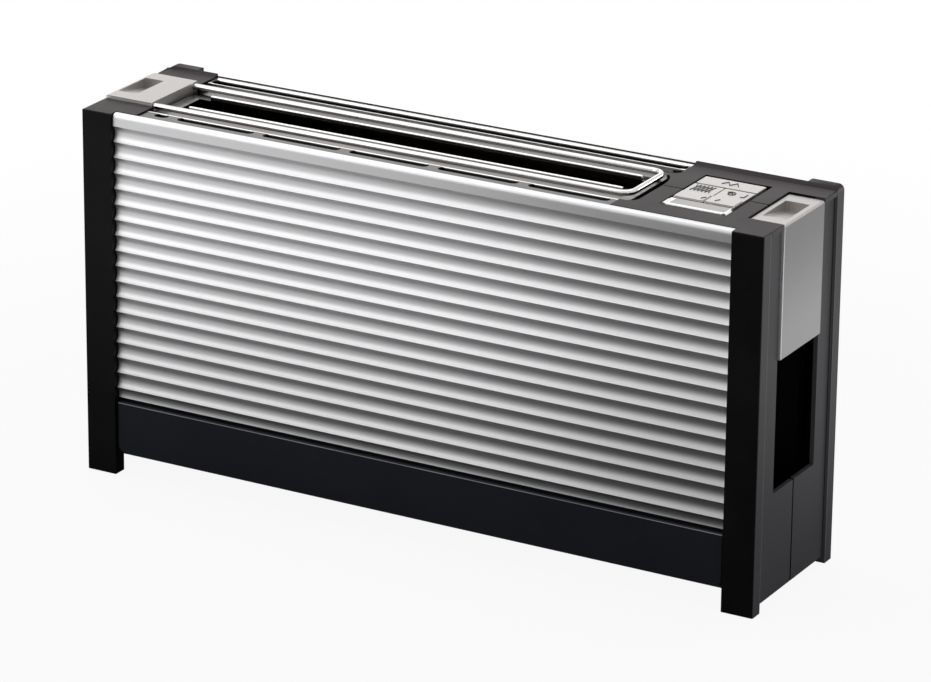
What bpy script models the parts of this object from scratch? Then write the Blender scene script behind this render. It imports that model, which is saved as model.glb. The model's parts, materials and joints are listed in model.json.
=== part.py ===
"""Long-slot toaster with a bun warmer, built as separate parts.

Metres. +X is the toaster's right, +Y its back, +Z up. The floor is at z = 0 and the centre plane,
where the end housings part, is y = 0.
"""
import math

import bmesh
import bpy
from mathutils import Matrix, Vector

MM = 0.001

# Driving sizes of the whole body
BODY_LENGTH = 420 * MM
BODY_DEPTH = 96.6 * MM
DECK_TOP = 214.7 * MM
REAR_RISE = 1.3 * MM
GAP = 0.3 * MM
RUNNING_GAP = 0.4 * MM
OVERRUN = 15 * MM
WELD = 0.001 * MM

# End housings
COLUMN_WIDTH = 18.8 * MM
COLUMN_DEPTH = 8.6 * MM
FOOT_HEIGHT = 1 * MM
WALL_RECESS = 1.6 * MM
WALL_BOTTOM = 5 * MM
SHELL = 2.5 * MM
DECK_THICKNESS = 3 * MM
REAR_END_RADIUS = 3.5 * MM
SKIRT_DEPTH = 7.5 * MM
SKIRT_THICKNESS = 2 * MM

# Long sides
PANEL_SETBACK = 1.8 * MM
PANEL_THICKNESS = 3.9 * MM
PANEL_SETDOWN = 0.2 * MM
PANEL_BOTTOM = 46.9 * MM
PANEL_TOP_BAND = 7.15 * MM
FLUTE_PITCH = 9.06 * MM
FLUTE_DEPTH = 2.2 * MM
PLINTH_TOP = 45 * MM
PLINTH_BOTTOM = 14.4 * MM
PLINTH_THICKNESS = 3 * MM

# Toasting chamber and the bays beside it
LEFT_BAY = 35.4 * MM
RIGHT_BAY = 91.4 * MM
LEFT_DECK_MARGIN = 5 * MM
RIGHT_DECK_MARGIN = 9.2 * MM
HOLE_CORNER_RADIUS = 6 * MM
HOLE_FRONT_BORDER = 1 * MM
TONGUE_REACH = 6.1 * MM
TONGUE_DEPTH = 20 * MM
REAR_HOLE_INSET = 1.1 * MM
HOUSING_SEAM = 0.8 * MM
SHEET = 1 * MM
THIN_SHEET = 0.6 * MM
SLOT_HALF_WIDTH = 10.5 * MM
CHAMBER_FLOOR = 32 * MM
SURROUND_SETDOWN = 3.7 * MM
SURROUND_THICKNESS = 0.8 * MM
TURNED_EDGE = 5.5 * MM
SLOT_RIM_WIDTH = 1.6 * MM
SLOT_RIM_SETDOWN = 0.8 * MM
SLOT_RIM_START = 7 * MM
RIM_ROUND_SHARE = 0.45
STRIP_SETDOWN = 0.8 * MM
STRIP_THICKNESS = 1.2 * MM
STRIP_BORDER = 0.9 * MM
SHIELD_BOTTOM = 40 * MM
VENT_LENGTH = 48.5 * MM
SHORT_VENT_LENGTH = 8.5 * MM
VENT_WIDTH = 5.1 * MM
REAR_VENT_WIDTH = 6.4 * MM
VENT_BRIDGE = 6.5 * MM
VENT_END_MARGIN = 17 * MM
RIGHT_FLANGE = 16 * MM
LEFT_FLANGE = 28 * MM
TOP_FLANGE_HALF_DEPTH = 20 * MM
RACK_SLOT_ABOVE = 6 * MM
RACK_SLOT_BELOW = 5 * MM
BASE_BOTTOM = 10.5 * MM
BASE_THICKNESS = 1.5 * MM

# Levers, frame and carriage
LEVER_HALF_WIDTH = 23.9 * MM
LEVER_CLEARANCE = 0.7 * MM
LEVER_TOP_THICKNESS = 8 * MM
LEVER_SKIRT_THICKNESS = 3.5 * MM
LEVER_HEIGHT = 75.7 * MM
LEVER_OVERTRAVEL = 3.2 * MM
CARRIAGE_LEVER_WIDTH = 21 * MM
WARMER_LEVER_WIDTH = 30 * MM
CARRIAGE_LEVER_DROP = 1 * MM
WARMER_RISE = 1.7 * MM
CARRIAGE_POCKET_MARGIN = 4 * MM
CARRIAGE_POCKET_LENGTH = 14 * MM
WARMER_POCKET_MARGIN = 2 * MM
WARMER_POCKET_LENGTH = 12 * MM
POCKET_HALF_WIDTH = 14 * MM
POCKET_DEPTH_DEEP = 6 * MM
POCKET_DEPTH_SHALLOW = 1 * MM
FRAME_WIRE_RADIUS = 1.7 * MM
FRAME_HALF_SPACING = 21 * MM
FRAME_SETDOWN = 0.75 * MM
FRAME_PAST_CHAMBER = 0.3 * MM
FRAME_SOCKET_DEPTH = 8 * MM
RACK_DROP = 18.5 * MM
RACK_HALF_SPINE = 3 * MM
RACK_THICKNESS = 1.5 * MM
RACK_TOOTH = 4 * MM
RACK_TOOTH_REACH = 9 * MM
RACK_END_MARGIN = 14 * MM
GUIDE_ROD_RADIUS = 2 * MM
GUIDE_ROD_SPACING = 28 * MM
SHOE_ROD_RADIUS = 1.5 * MM
SLIDER_CLEARANCE = 2.3 * MM
SLIDER_THICKNESS = 11.4 * MM
SLIDER_HALF_DEPTH = 19 * MM
SLIDER_DROP = 3.5 * MM
ARM_RISE = 10 * MM
ARM_HEIGHT = 8 * MM
ARM_HALF_WIDTH = 4 * MM
SHOE_CLEARANCE = 3 * MM
SHOE_THICKNESS = 10 * MM
SHOE_HALF_DEPTH = 5 * MM
SHOE_HEIGHT = 12 * MM
WARMER_SLIDER_THICKNESS = 17 * MM
WARMER_SLIDER_RISE = 5 * MM
WARMER_SLIDER_HEIGHT = 15 * MM
WARMER_ROD_OFFSET = 2 * MM

# Chamber's walls, as shares of the half depth measured from the centre plane
GUIDE_WIRE_SHARE = 0.306
HEATER_SHARE = 0.47
REFLECTOR_SHARE = 0.612
SURROUND_SHARE = 0.62
SHIELD_SHARE = 0.632
FLOOR_GAP_SHARE = 0.245

# Ribbons on the heater boards
RIBBON_WIDTH = 1.2 * MM
RIBBON_THICKNESS = 0.3 * MM
RIBBON_END_MARGIN = 7 * MM
RIBBON_FLOOR_MARGIN = 13 * MM

# Latch magnet and timer board
MAGNET_MARGIN = 21 * MM
MAGNET_HEIGHT = 35.9 * MM
MAGNET_WIDTH = 24 * MM
MAGNET_HALF_DEPTH = 6 * MM
MAGNET_LEG = 5 * MM
YOKE_HEIGHT = 10 * MM
ARMATURE_THICKNESS = 2.5 * MM
BOARD_THICKNESS = 1.6 * MM
BOARD_SETBACK = 5 * MM
BOARD_BOTTOM = 60 * MM
BOARD_TOP_GAP = 19 * MM
BOARD_END_GAP = 24 * MM

# Keys
KEY_TRAVEL = 1.5 * MM
KEY_WELL_FROM_END = 71.8 * MM
KEY_WELL_WIDTH = 39.6 * MM
KEY_WELL_HALF_DEPTH = 27.2 * MM
KEY_SEAM = 0.6 * MM
KEY_RIGHT_GAP = 3 * MM
KEY_SETDOWN = 0.3 * MM
KEY_THICKNESS = 4.5 * MM
STRIP_KEY_DEPTH = 13 * MM
KEY_FLOOR_DROP = 4 * MM
KEY_FLOOR_THICKNESS = 1.6 * MM
KEY_FRAME_MARGIN = 3 * MM
PLUNGER_HALF = 2.5 * MM
PLUNGER_STAND_OUT = 0.8 * MM
SWITCH_CLEARANCE = 0.1 * MM
SWITCH_HEIGHT = 1.5 * MM

# Base screws and crumb tray
SCREW_RADIUS = 1.5 * MM
SCREW_FROM_CHAMBER = 12 * MM
SCREW_FROM_EDGE = 10.6 * MM
TRAY_WALL = 0.8 * MM
TRAY_HEIGHT = 14 * MM
TRAY_END_GAP = 8 * MM
TRAY_FACE_MARGIN = 3 * MM
TRAY_FACE_DROP = 8 * MM

# Places that follow from the sizes above
HALF_LENGTH = BODY_LENGTH / 2
HALF_DEPTH = BODY_DEPTH / 2
REAR_TOP = DECK_TOP + REAR_RISE
PANEL_TOP = DECK_TOP - PANEL_SETDOWN
FIRST_LIP = PANEL_TOP - PANEL_TOP_BAND
FLUTE_COUNT = int((FIRST_LIP - PANEL_BOTTOM) / FLUTE_PITCH)
COLUMN_INNER = HALF_LENGTH - COLUMN_WIDTH
COLUMN_BACK = HALF_DEPTH - COLUMN_DEPTH
WALL_OUTER = HALF_LENGTH - WALL_RECESS
WALL_INNER = WALL_OUTER - SHELL
DECK_UNDER = DECK_TOP - DECK_THICKNESS
PANEL_FACE = HALF_DEPTH - PANEL_SETBACK
PANEL_BACK = PANEL_FACE - PANEL_THICKNESS
DECK_EDGE = PANEL_BACK - GAP
CHAMBER_LEFT = LEFT_BAY - WALL_OUTER
CHAMBER_RIGHT = WALL_OUTER - RIGHT_BAY
DECK_HOLE_LEFT = CHAMBER_LEFT - LEFT_DECK_MARGIN
DECK_HOLE_RIGHT = CHAMBER_RIGHT + RIGHT_DECK_MARGIN
BASE_TOP = BASE_BOTTOM + BASE_THICKNESS
CHASSIS_BOTTOM = BASE_TOP + GAP
SURROUND_TOP = DECK_TOP - SURROUND_SETDOWN
SURROUND_UNDER = SURROUND_TOP - SURROUND_THICKNESS
SLOT_RIM_TOP = DECK_TOP - SLOT_RIM_SETDOWN
CHASSIS_TOP = SURROUND_UNDER - GAP
CHASSIS_HALF_DEPTH = COLUMN_BACK - RUNNING_GAP
TOP_FLANGE = DECK_UNDER - SKIRT_DEPTH
FLOOR_FLANGE_TOP = CHASSIS_BOTTOM + SHEET
ROD_BOTTOM = FLOOR_FLANGE_TOP + GAP
ROD_TOP = TOP_FLANGE - SHEET - GAP
LEVER_SLOT_HALF_WIDTH = LEVER_HALF_WIDTH + LEVER_CLEARANCE
LEVER_BOTTOM = DECK_TOP - LEVER_HEIGHT
LEVER_SKIRT_INNER = HALF_LENGTH - LEVER_SKIRT_THICKNESS
RACK_TOP = LEVER_BOTTOM - RACK_DROP
MAGNET_TOP = CHASSIS_BOTTOM + MAGNET_HEIGHT
CARRIAGE_TRAVEL = RACK_TOP - MAGNET_TOP - GAP
CARRIAGE_SLOT_BOTTOM = LEVER_BOTTOM - CARRIAGE_TRAVEL - LEVER_OVERTRAVEL
CARRIAGE_TOP = DECK_TOP - CARRIAGE_LEVER_DROP
WARMER_TOP = DECK_TOP + WARMER_RISE
WARMER_SLOT_BOTTOM = LEVER_BOTTOM - RUNNING_GAP
FRAME_CENTRE_Z = WARMER_TOP - FRAME_WIRE_RADIUS - FRAME_SETDOWN
SLIDER_LEFT = CHAMBER_RIGHT + SHEET + SLIDER_CLEARANCE
SLIDER_BOTTOM = RACK_TOP - SLIDER_DROP
ARM_TOP = LEVER_BOTTOM + ARM_RISE
SHOE_RIGHT = CHAMBER_LEFT - SHEET - SHOE_CLEARANCE
WARMER_SLIDER_LEFT = -LEVER_SKIRT_INNER + GAP
CARRIAGE_ROD_X = SLIDER_LEFT + SLIDER_THICKNESS / 2
WARMER_ROD_X = WARMER_SLIDER_LEFT + WARMER_SLIDER_THICKNESS / 2 + WARMER_ROD_OFFSET
SHOE_ROD_X = SHOE_RIGHT - SHOE_THICKNESS / 2
MAGNET_LEFT = CHAMBER_RIGHT + MAGNET_MARGIN
MAGNET_MIDDLE = MAGNET_LEFT + MAGNET_WIDTH / 2
YOKE_TOP = CHASSIS_BOTTOM + YOKE_HEIGHT
BOARD_BACK = COLUMN_BACK - BOARD_SETBACK
BOARD_TOP = TOP_FLANGE - BOARD_TOP_GAP
BOARD_RIGHT = HALF_LENGTH - BOARD_END_GAP
KEY_WELL_LEFT = HALF_LENGTH - KEY_WELL_FROM_END
KEY_WELL_RIGHT = KEY_WELL_LEFT + KEY_WELL_WIDTH
GUIDE_WIRE_DISTANCE = GUIDE_WIRE_SHARE * HALF_DEPTH
HEATER_DISTANCE = HEATER_SHARE * HALF_DEPTH
REFLECTOR_DISTANCE = REFLECTOR_SHARE * HALF_DEPTH
SURROUND_HALF_DEPTH = SURROUND_SHARE * HALF_DEPTH
SHIELD_DISTANCE = SHIELD_SHARE * HALF_DEPTH
FLOOR_GAP_HALF_WIDTH = FLOOR_GAP_SHARE * HALF_DEPTH
KEY_TOP = DECK_TOP - KEY_SETDOWN
KEY_FLOOR_TOP = DECK_UNDER - KEY_FLOOR_DROP
KEY_FLOOR_UNDER = KEY_FLOOR_TOP - KEY_FLOOR_THICKNESS
PLUNGER_BOTTOM = KEY_FLOOR_UNDER - PLUNGER_STAND_OUT
SWITCH_TOP = PLUNGER_BOTTOM - KEY_TRAVEL - SWITCH_CLEARANCE
KEY_BOARD_TOP = SWITCH_TOP - SWITCH_HEIGHT - GAP
SCREW_HOLE_RADIUS = SCREW_RADIUS + GAP
TRAY_LEFT = CHAMBER_LEFT + TRAY_END_GAP
TRAY_RIGHT = CHAMBER_RIGHT - TRAY_END_GAP
TRAY_FACE_LEFT = TRAY_LEFT - TRAY_FACE_MARGIN
TRAY_FACE_RIGHT = TRAY_RIGHT + TRAY_FACE_MARGIN
TRAY_FACE_TOP = PLINTH_TOP - TRAY_FACE_DROP

BLACK_PLASTIC = ("black_plastic", (0.022, 0.021, 0.023), 0.5, 0.0)
PLINTH_BLACK = ("plinth_black", (0.012, 0.013, 0.016), 0.45, 0.0)
BRUSHED_ALUMINIUM = ("brushed_aluminium", (0.80, 0.80, 0.81), 0.32, 1.0)
SATIN_SILVER = ("satin_silver", (0.74, 0.73, 0.72), 0.38, 0.9)
BRIGHT_STEEL = ("bright_steel", (0.82, 0.82, 0.82), 0.12, 1.0)
PLATED_SHEET = ("plated_sheet", (0.62, 0.63, 0.64), 0.35, 1.0)
STEEL_ROD = ("steel_rod", (0.66, 0.66, 0.67), 0.25, 1.0)
SPRING_STEEL = ("spring_steel", (0.35, 0.35, 0.36), 0.3, 1.0)
MICA = ("mica", (0.48, 0.40, 0.30), 0.6, 0.0)
HEATING_RIBBON = ("heating_ribbon", (0.42, 0.37, 0.33), 0.4, 1.0)
GREY_NYLON = ("grey_nylon", (0.20, 0.20, 0.21), 0.6, 0.0)
BOARD_GREEN = ("board_green", (0.05, 0.16, 0.08), 0.5, 0.0)
COPPER = ("copper", (0.72, 0.36, 0.20), 0.3, 1.0)
RUBBER = ("rubber", (0.03, 0.03, 0.03), 0.8, 0.0)


def clear_scene():
    """Remove whatever the file holds."""
    for thing in list(bpy.data.objects):
        bpy.data.objects.remove(thing, do_unlink=True)


def material(finish):
    """Return the named finish as a material."""
    name, colour, roughness, metallic = finish
    made = bpy.data.materials.get(name)
    if made is None:
        made = bpy.data.materials.new(name)
        made.use_nodes = True
        shader = made.node_tree.nodes["Principled BSDF"]
        shader.inputs["Base Color"].default_value = (*colour, 1)
        shader.inputs["Roughness"].default_value = roughness
        shader.inputs["Metallic"].default_value = metallic
    return made


def block(bm, low, high):
    """Add a closed box between two opposite corners."""
    low, high = Vector(low), Vector(high)
    placed = Matrix.Translation((low + high) / 2) @ Matrix.Diagonal((*(high - low), 1))
    bmesh.ops.create_cube(bm, size=1, matrix=placed)
    return bm


def boxed(low, high):
    """A new mesh that holds one box."""
    return block(bmesh.new(), low, high)


def prism(bm, outline, axis, low, high):
    """Add a closed prism: an outline across the axis, run along it from low to high."""
    order = {"X": (2, 0, 1), "Y": (0, 2, 1), "Z": (0, 1, 2)}[axis]
    along = Vector((0, 0, 0))
    along["XYZ".index(axis)] = high - low
    corners = []
    for a, b in outline:
        flat = (a, b, low)
        corners.append(bm.verts.new([flat[i] for i in order]))
    face = bm.faces.new(corners)
    grown = bmesh.ops.extrude_face_region(bm, geom=[face], use_keep_orig=True)["geom"]
    moved = [g for g in grown if isinstance(g, bmesh.types.BMVert)]
    bmesh.ops.translate(bm, verts=moved, vec=along)
    bmesh.ops.recalc_face_normals(bm, faces=bm.faces)
    return bm


def rod(bm, start, end, radius, sides=16):
    """Add a closed round rod between two points."""
    start, end = Vector(start), Vector(end)
    turn = (end - start).to_track_quat("Z", "Y").to_matrix().to_4x4()
    placed = Matrix.Translation((start + end) / 2) @ turn
    bmesh.ops.create_cone(bm, cap_ends=True, segments=sides, radius1=radius, radius2=radius,
                          depth=(end - start).length, matrix=placed)
    return bm


def wire(bm, path, radius, sides=8):
    """Add a closed round wire that follows a path of points."""
    path = [Vector(p) for p in path]
    rings = []
    side = None
    for i, point in enumerate(path):
        ahead = (path[min(i + 1, len(path) - 1)] - path[max(i - 1, 0)]).normalized()
        if side is None:
            side = ahead.orthogonal().normalized()
        side = (side - ahead * side.dot(ahead)).normalized()
        across = ahead.cross(side)
        ring = []
        for k in range(sides):
            angle = math.tau * k / sides
            turned = math.cos(angle) * side + math.sin(angle) * across
            ring.append(bm.verts.new(point + radius * turned))
        rings.append(ring)
    for first, second in zip(rings, rings[1:]):
        for k in range(sides):
            j = (k + 1) % sides
            bm.faces.new((first[k], first[j], second[j], second[k]))
    bm.faces.new(list(reversed(rings[0])))
    bm.faces.new(rings[-1])
    bmesh.ops.recalc_face_normals(bm, faces=bm.faces)
    return bm


def combine(bm, other, operation="DIFFERENCE"):
    """Cut the other mesh out of this one, or join it to this one, and return the outcome."""
    holders = []
    for mesh_source in (bm, other):
        mesh = bpy.data.meshes.new("working")
        mesh_source.to_mesh(mesh)
        mesh_source.free()
        holder = bpy.data.objects.new("working", mesh)
        bpy.context.scene.collection.objects.link(holder)
        holders.append(holder)
    step = holders[0].modifiers.new("combine", "BOOLEAN")
    step.object = holders[1]
    step.operation = operation
    bpy.context.view_layer.update()
    seen = holders[0].evaluated_get(bpy.context.evaluated_depsgraph_get())
    outcome = bmesh.new()
    outcome.from_mesh(seen.to_mesh())
    seen.to_mesh_clear()
    for holder in holders:
        mesh = holder.data
        bpy.data.objects.remove(holder)
        bpy.data.meshes.remove(mesh)
    bmesh.ops.remove_doubles(outcome, verts=outcome.verts, dist=WELD)
    flat = math.radians(0.1)
    bmesh.ops.dissolve_limit(outcome, angle_limit=flat, verts=outcome.verts, edges=outcome.edges)
    return outcome


def carve(bm, *boxes):
    """Cut boxes, each given by two opposite corners, out of a mesh."""
    for low, high in boxes:
        bm = combine(bm, boxed(low, high))
    return bm


def round_edges(bm, wanted, radius, segments=2):
    """Round the edges whose two ends both pass the test."""
    edges = [e for e in bm.edges if wanted(e.verts[0].co) and wanted(e.verts[1].co)]
    bmesh.ops.bevel(bm, geom=edges, offset=radius, offset_type="OFFSET", segments=segments, profile=0.5,
                    affect="EDGES", material=-1, clamp_overlap=True)
    return bm


def near(a, b):
    """Say whether two places are the same."""
    return abs(a - b) < GAP / 10


def part(name, bm, finish, origin=(0, 0, 0), smooth=False):
    """Make the named object from a mesh, with its origin at the given place."""
    bmesh.ops.remove_doubles(bm, verts=bm.verts, dist=WELD)
    bmesh.ops.translate(bm, verts=bm.verts, vec=-Vector(origin))
    bmesh.ops.recalc_face_normals(bm, faces=bm.faces)
    mesh = bpy.data.meshes.new(name)
    bm.to_mesh(mesh)
    bm.free()
    if smooth:
        for face in mesh.polygons:
            face.use_smooth = True
    mesh.materials.append(material(finish))
    made = bpy.data.objects.new(name, mesh)
    made.location = origin
    bpy.context.scene.collection.objects.link(made)
    return made


def mirrored(bm, side, half):
    """Put a mesh that was drawn right of and behind the centre onto its own side and half."""
    bmesh.ops.scale(bm, vec=(side, half, 1), verts=bm.verts)
    if side * half < 0:
        bmesh.ops.reverse_faces(bm, faces=bm.faces)
    return bm


def end_housing(name, side, half):
    """Half of an end housing: its column, half of the end wall and half of the deck."""
    far = BODY_LENGTH
    deck_end = DECK_HOLE_RIGHT if side > 0 else -DECK_HOLE_LEFT
    top = REAR_TOP if half > 0 else DECK_TOP
    inner_end = CHAMBER_RIGHT if side > 0 else deck_end
    bm = boxed((inner_end, HOUSING_SEAM / 2, FOOT_HEIGHT), (HALF_LENGTH, HALF_DEPTH, top))
    skirt = deck_end + SKIRT_THICKNESS
    bay = [(skirt, -far), (WALL_INNER, -far), (WALL_INNER, COLUMN_BACK), (COLUMN_INNER, COLUMN_BACK),
           (COLUMN_INNER, far), (skirt, far)]
    bm = combine(bm, prism(bmesh.new(), bay, "Z", -far, DECK_UNDER))
    bm = carve(bm,
               ((-far, DECK_EDGE, -far), (COLUMN_INNER, far, far)),
               ((-far, -far, -far), (deck_end, far, DECK_UNDER)),
               ((-far, -far, -far), (skirt + GAP, far, TOP_FLANGE)),
               ((WALL_OUTER, -far, -far), (far, COLUMN_BACK, DECK_UNDER)),
               ((-far, -far, -far), (far, COLUMN_BACK, WALL_BOTTOM)))
    pocket_low = (COLUMN_INNER + SHELL, COLUMN_BACK - GAP, WALL_BOTTOM)
    pocket_high = (WALL_INNER, HALF_DEPTH - SHELL, DECK_UNDER - GAP)
    slot_bottom = CARRIAGE_SLOT_BOTTOM if side > 0 else WARMER_SLOT_BOTTOM
    lever_width = CARRIAGE_LEVER_WIDTH if side > 0 else HALF_LENGTH
    lever_inner = HALF_LENGTH - lever_width - RUNNING_GAP
    bm = carve(bm,
               (pocket_low, pocket_high),
               ((COLUMN_INNER, -far, slot_bottom), (far, LEVER_SLOT_HALF_WIDTH, far)),
               ((lever_inner, -far, DECK_UNDER - OVERRUN), (far, LEVER_SLOT_HALF_WIDTH, far)))
    if side > 0:
        bm = carve(bm, ((KEY_WELL_LEFT, -far, DECK_UNDER - GAP), (KEY_WELL_RIGHT, KEY_WELL_HALF_DEPTH, far)))
        hole = tongued_hole() if half > 0 else round_cornered_hole()
        bm = combine(bm, prism(bmesh.new(), hole, "Z", -far, far))
    if half > 0:
        bm = combine(bm, rear_rise_cutter())
        bm = combine(bm, rear_end_cutter())
    edge_radius = 0.8 * MM
    round_edges(bm, lambda p: on_outer_side(p, top), edge_radius, 3)
    round_edges(bm, lambda p: near(p.z, DECK_TOP) and near(p.x, HALF_LENGTH), edge_radius)
    return part(name, mirrored(bm, side, half), BLACK_PLASTIC)


def on_outer_side(p, top):
    """Say whether a point lies on the long side's top edge or on its corner with the end."""
    return near(p.y, HALF_DEPTH) and (near(p.z, top) or p.x > HALF_LENGTH - REAR_END_RADIUS - GAP)


def round_cornered_hole(steps=6):
    """Outline of the chamber's opening up to the right front deck, with a round corner."""
    radius = HOLE_CORNER_RADIUS
    edge = SHIELD_DISTANCE + HOLE_FRONT_BORDER
    middle_x = DECK_HOLE_RIGHT - radius
    middle_y = edge - radius
    outline = [(-OVERRUN, -OVERRUN), (DECK_HOLE_RIGHT, -OVERRUN)]
    for k in range(steps + 1):
        angle = math.pi / 2 * k / steps
        outline.append((middle_x + radius * math.cos(angle), middle_y + radius * math.sin(angle)))
    return outline + [(-OVERRUN, edge)]


def tongued_hole(steps=6):
    """Outline of the opening up to the right rear deck, whose tongue comes close to the warmer frame."""
    tip = DECK_HOLE_RIGHT - TONGUE_REACH
    rear_edge = DECK_HOLE_RIGHT - REAR_HOLE_INSET
    shoulder = TONGUE_DEPTH + TONGUE_REACH / 2
    front = TONGUE_DEPTH - TONGUE_REACH / 2
    outline = [(-OVERRUN, -OVERRUN), (DECK_HOLE_RIGHT, -OVERRUN)]
    for k in range(steps + 1):
        angle = math.pi / 2 * k / steps
        outline.append((tip + TONGUE_REACH * math.cos(angle), front * math.sin(angle)))
    return outline + [(tip, TONGUE_DEPTH), (rear_edge, shoulder), (rear_edge, BODY_DEPTH),
                      (-OVERRUN, BODY_DEPTH)]


def rear_rise_cutter():
    """What lies above the rear deck: flat over the deck, then sloping up to the raised rear edge."""
    rise_margin = 1.5 * MM
    rise_start = COLUMN_BACK - rise_margin
    rise_end = DECK_EDGE - SHEET
    above = REAR_TOP + OVERRUN
    outline = [(-OVERRUN, DECK_TOP), (rise_start, DECK_TOP), (rise_end, REAR_TOP), (rise_end, above),
               (-OVERRUN, above)]
    return prism(bmesh.new(), outline, "X", 0, BODY_LENGTH)


def rear_end_cutter(steps=6):
    """What lies outside the round upper end of the raised rear edge."""
    middle_x = HALF_LENGTH - REAR_END_RADIUS
    middle_z = REAR_TOP - REAR_END_RADIUS
    outline = []
    for k in range(steps + 1):
        angle = math.pi / 2 * k / steps
        outline.append((middle_x + REAR_END_RADIUS * math.cos(angle),
                        middle_z + REAR_END_RADIUS * math.sin(angle)))
    outline += [(middle_x, REAR_TOP + OVERRUN), (HALF_LENGTH + OVERRUN, REAR_TOP + OVERRUN),
                (HALF_LENGTH + OVERRUN, middle_z)]
    return prism(bmesh.new(), outline, "Y", COLUMN_BACK, BODY_DEPTH)


def flute(lip, floor, steps=6):
    """Points of one concave flute of the panel, from its upper lip down its arc to a height."""
    half = FLUTE_PITCH / 2
    radius = (half * half + FLUTE_DEPTH * FLUTE_DEPTH) / (2 * FLUTE_DEPTH)
    centre_y = PANEL_FACE + radius - FLUTE_DEPTH
    centre_z = lip - half
    first = math.asin(half / radius)
    last = math.asin((floor - centre_z) / radius)
    points = []
    for k in range(steps + 1):
        angle = first + (last - first) * k / steps
        points.append((centre_y - radius * math.cos(angle), centre_z + radius * math.sin(angle)))
    return points


def panel_outline():
    """Section of the fluted panel: plain top band with a rounded edge, flutes, and a last one cut short."""
    edge_radius = 2.8 * MM
    points = [(PANEL_BACK, PANEL_BOTTOM), (PANEL_BACK, PANEL_TOP)]
    for k in range(5):
        angle = math.pi / 2 * (1 - k / 4)
        points.append((PANEL_FACE - edge_radius + edge_radius * math.cos(angle),
                       PANEL_TOP - edge_radius + edge_radius * math.sin(angle)))
    for k in range(FLUTE_COUNT):
        points += flute(FIRST_LIP - k * FLUTE_PITCH, FIRST_LIP - (k + 1) * FLUTE_PITCH)[:-1]
    return points + flute(FIRST_LIP - FLUTE_COUNT * FLUTE_PITCH, PANEL_BOTTOM)


def fluted_panel(name, half):
    """Aluminium panel that fills the space between two columns."""
    reach = COLUMN_INNER - GAP
    bm = prism(bmesh.new(), panel_outline(), "X", -reach, reach)
    return part(name, mirrored(bm, 1, half), BRUSHED_ALUMINIUM)


def rounded_bar(reach, bottom, top, radius, steps=4):
    """Outline of the plinth: a bar whose two lower corners are round."""
    points = [(-reach, top)]
    for side in (-1, 1):
        for k in range(steps + 1):
            angle = math.pi / 2 * (k / steps)
            turn = (math.cos(angle), math.sin(angle)) if side < 0 else (math.sin(angle), math.cos(angle))
            points.append((side * (reach - radius + radius * turn[0]), bottom + radius - radius * turn[1]))
    points.append((reach, top))
    return points


def plinth(name, half):
    """Plain bar under a fluted panel; the rear one is cut out for the crumb tray's face."""
    side_gap = 1 * MM
    corner = 4 * MM
    chamfer = 0.8 * MM
    inner = PANEL_FACE + GAP - PLINTH_THICKNESS
    outer = PANEL_FACE + GAP
    outline = rounded_bar(COLUMN_INNER - side_gap, PLINTH_BOTTOM, PLINTH_TOP, corner)
    bm = prism(bmesh.new(), outline, "Y", inner, outer)
    tongue_thickness = 1 * MM
    tongue_inset = 3 * MM
    reach = COLUMN_INNER - GAP
    tongue = boxed((-reach, inner - tongue_thickness, PLINTH_BOTTOM + corner),
                   (reach, inner + tongue_thickness, PLINTH_TOP - tongue_inset))
    bm = combine(bm, tongue, "UNION")
    if half > 0:
        low = (TRAY_FACE_LEFT - RUNNING_GAP, 0, 0)
        high = (TRAY_FACE_RIGHT + RUNNING_GAP, BODY_DEPTH, TRAY_FACE_TOP + RUNNING_GAP)
        bm = carve(bm, (low, high))
    round_edges(bm, lambda p: near(p.y, outer) and near(p.z, PLINTH_TOP), chamfer, 1)
    return part(name, mirrored(bm, 1, half), PLINTH_BLACK)


def foot_pad(name, side, half):
    """Small pad under one column."""
    inset = 1.8 * MM
    chamfer = 0.3 * MM
    bm = boxed((COLUMN_INNER + inset, COLUMN_BACK + inset, 0),
               (HALF_LENGTH - inset, HALF_DEPTH - inset, FOOT_HEIGHT - GAP))
    round_edges(bm, lambda p: near(p.z, 0), chamfer, 1)
    return part(name, mirrored(bm, side, half), RUBBER)


def slot_surround():
    """Bright plate with the bread slot; the slot's edges are turned down, and its long ones stand up too."""
    left_margin = 3 * MM
    right_margin = 1.5 * MM
    half_ring = SLOT_HALF_WIDTH + SURROUND_THICKNESS
    half_rim = SLOT_HALF_WIDTH + SLOT_RIM_WIDTH
    rim_radius = RIM_ROUND_SHARE * SLOT_RIM_WIDTH
    right = CHAMBER_RIGHT + SHEET + GAP
    slot_left, slot_right = CHAMBER_LEFT + left_margin, CHAMBER_RIGHT - right_margin
    bm = boxed((DECK_HOLE_LEFT + GAP, -SURROUND_HALF_DEPTH, SURROUND_UNDER),
               (right, SURROUND_HALF_DEPTH, SURROUND_TOP))
    ring = boxed((slot_left - SURROUND_THICKNESS, -half_ring, SURROUND_TOP - TURNED_EDGE),
                 (slot_right + SURROUND_THICKNESS, half_ring, SURROUND_TOP - SURROUND_THICKNESS / 2))
    rims = boxed((slot_left + SLOT_RIM_START, -half_rim, SURROUND_TOP - SURROUND_THICKNESS / 2),
                 (slot_right - SLOT_RIM_START, half_rim, SLOT_RIM_TOP))
    bm = combine(combine(bm, ring, "UNION"), rims, "UNION")
    bm = carve(bm, ((slot_left, -SLOT_HALF_WIDTH, -OVERRUN), (slot_right, SLOT_HALF_WIDTH, BODY_LENGTH)))
    round_edges(bm, lambda p: near(p.z, SLOT_RIM_TOP), rim_radius, 3)
    return part("slot_surround", bm, BRIGHT_STEEL)


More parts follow.
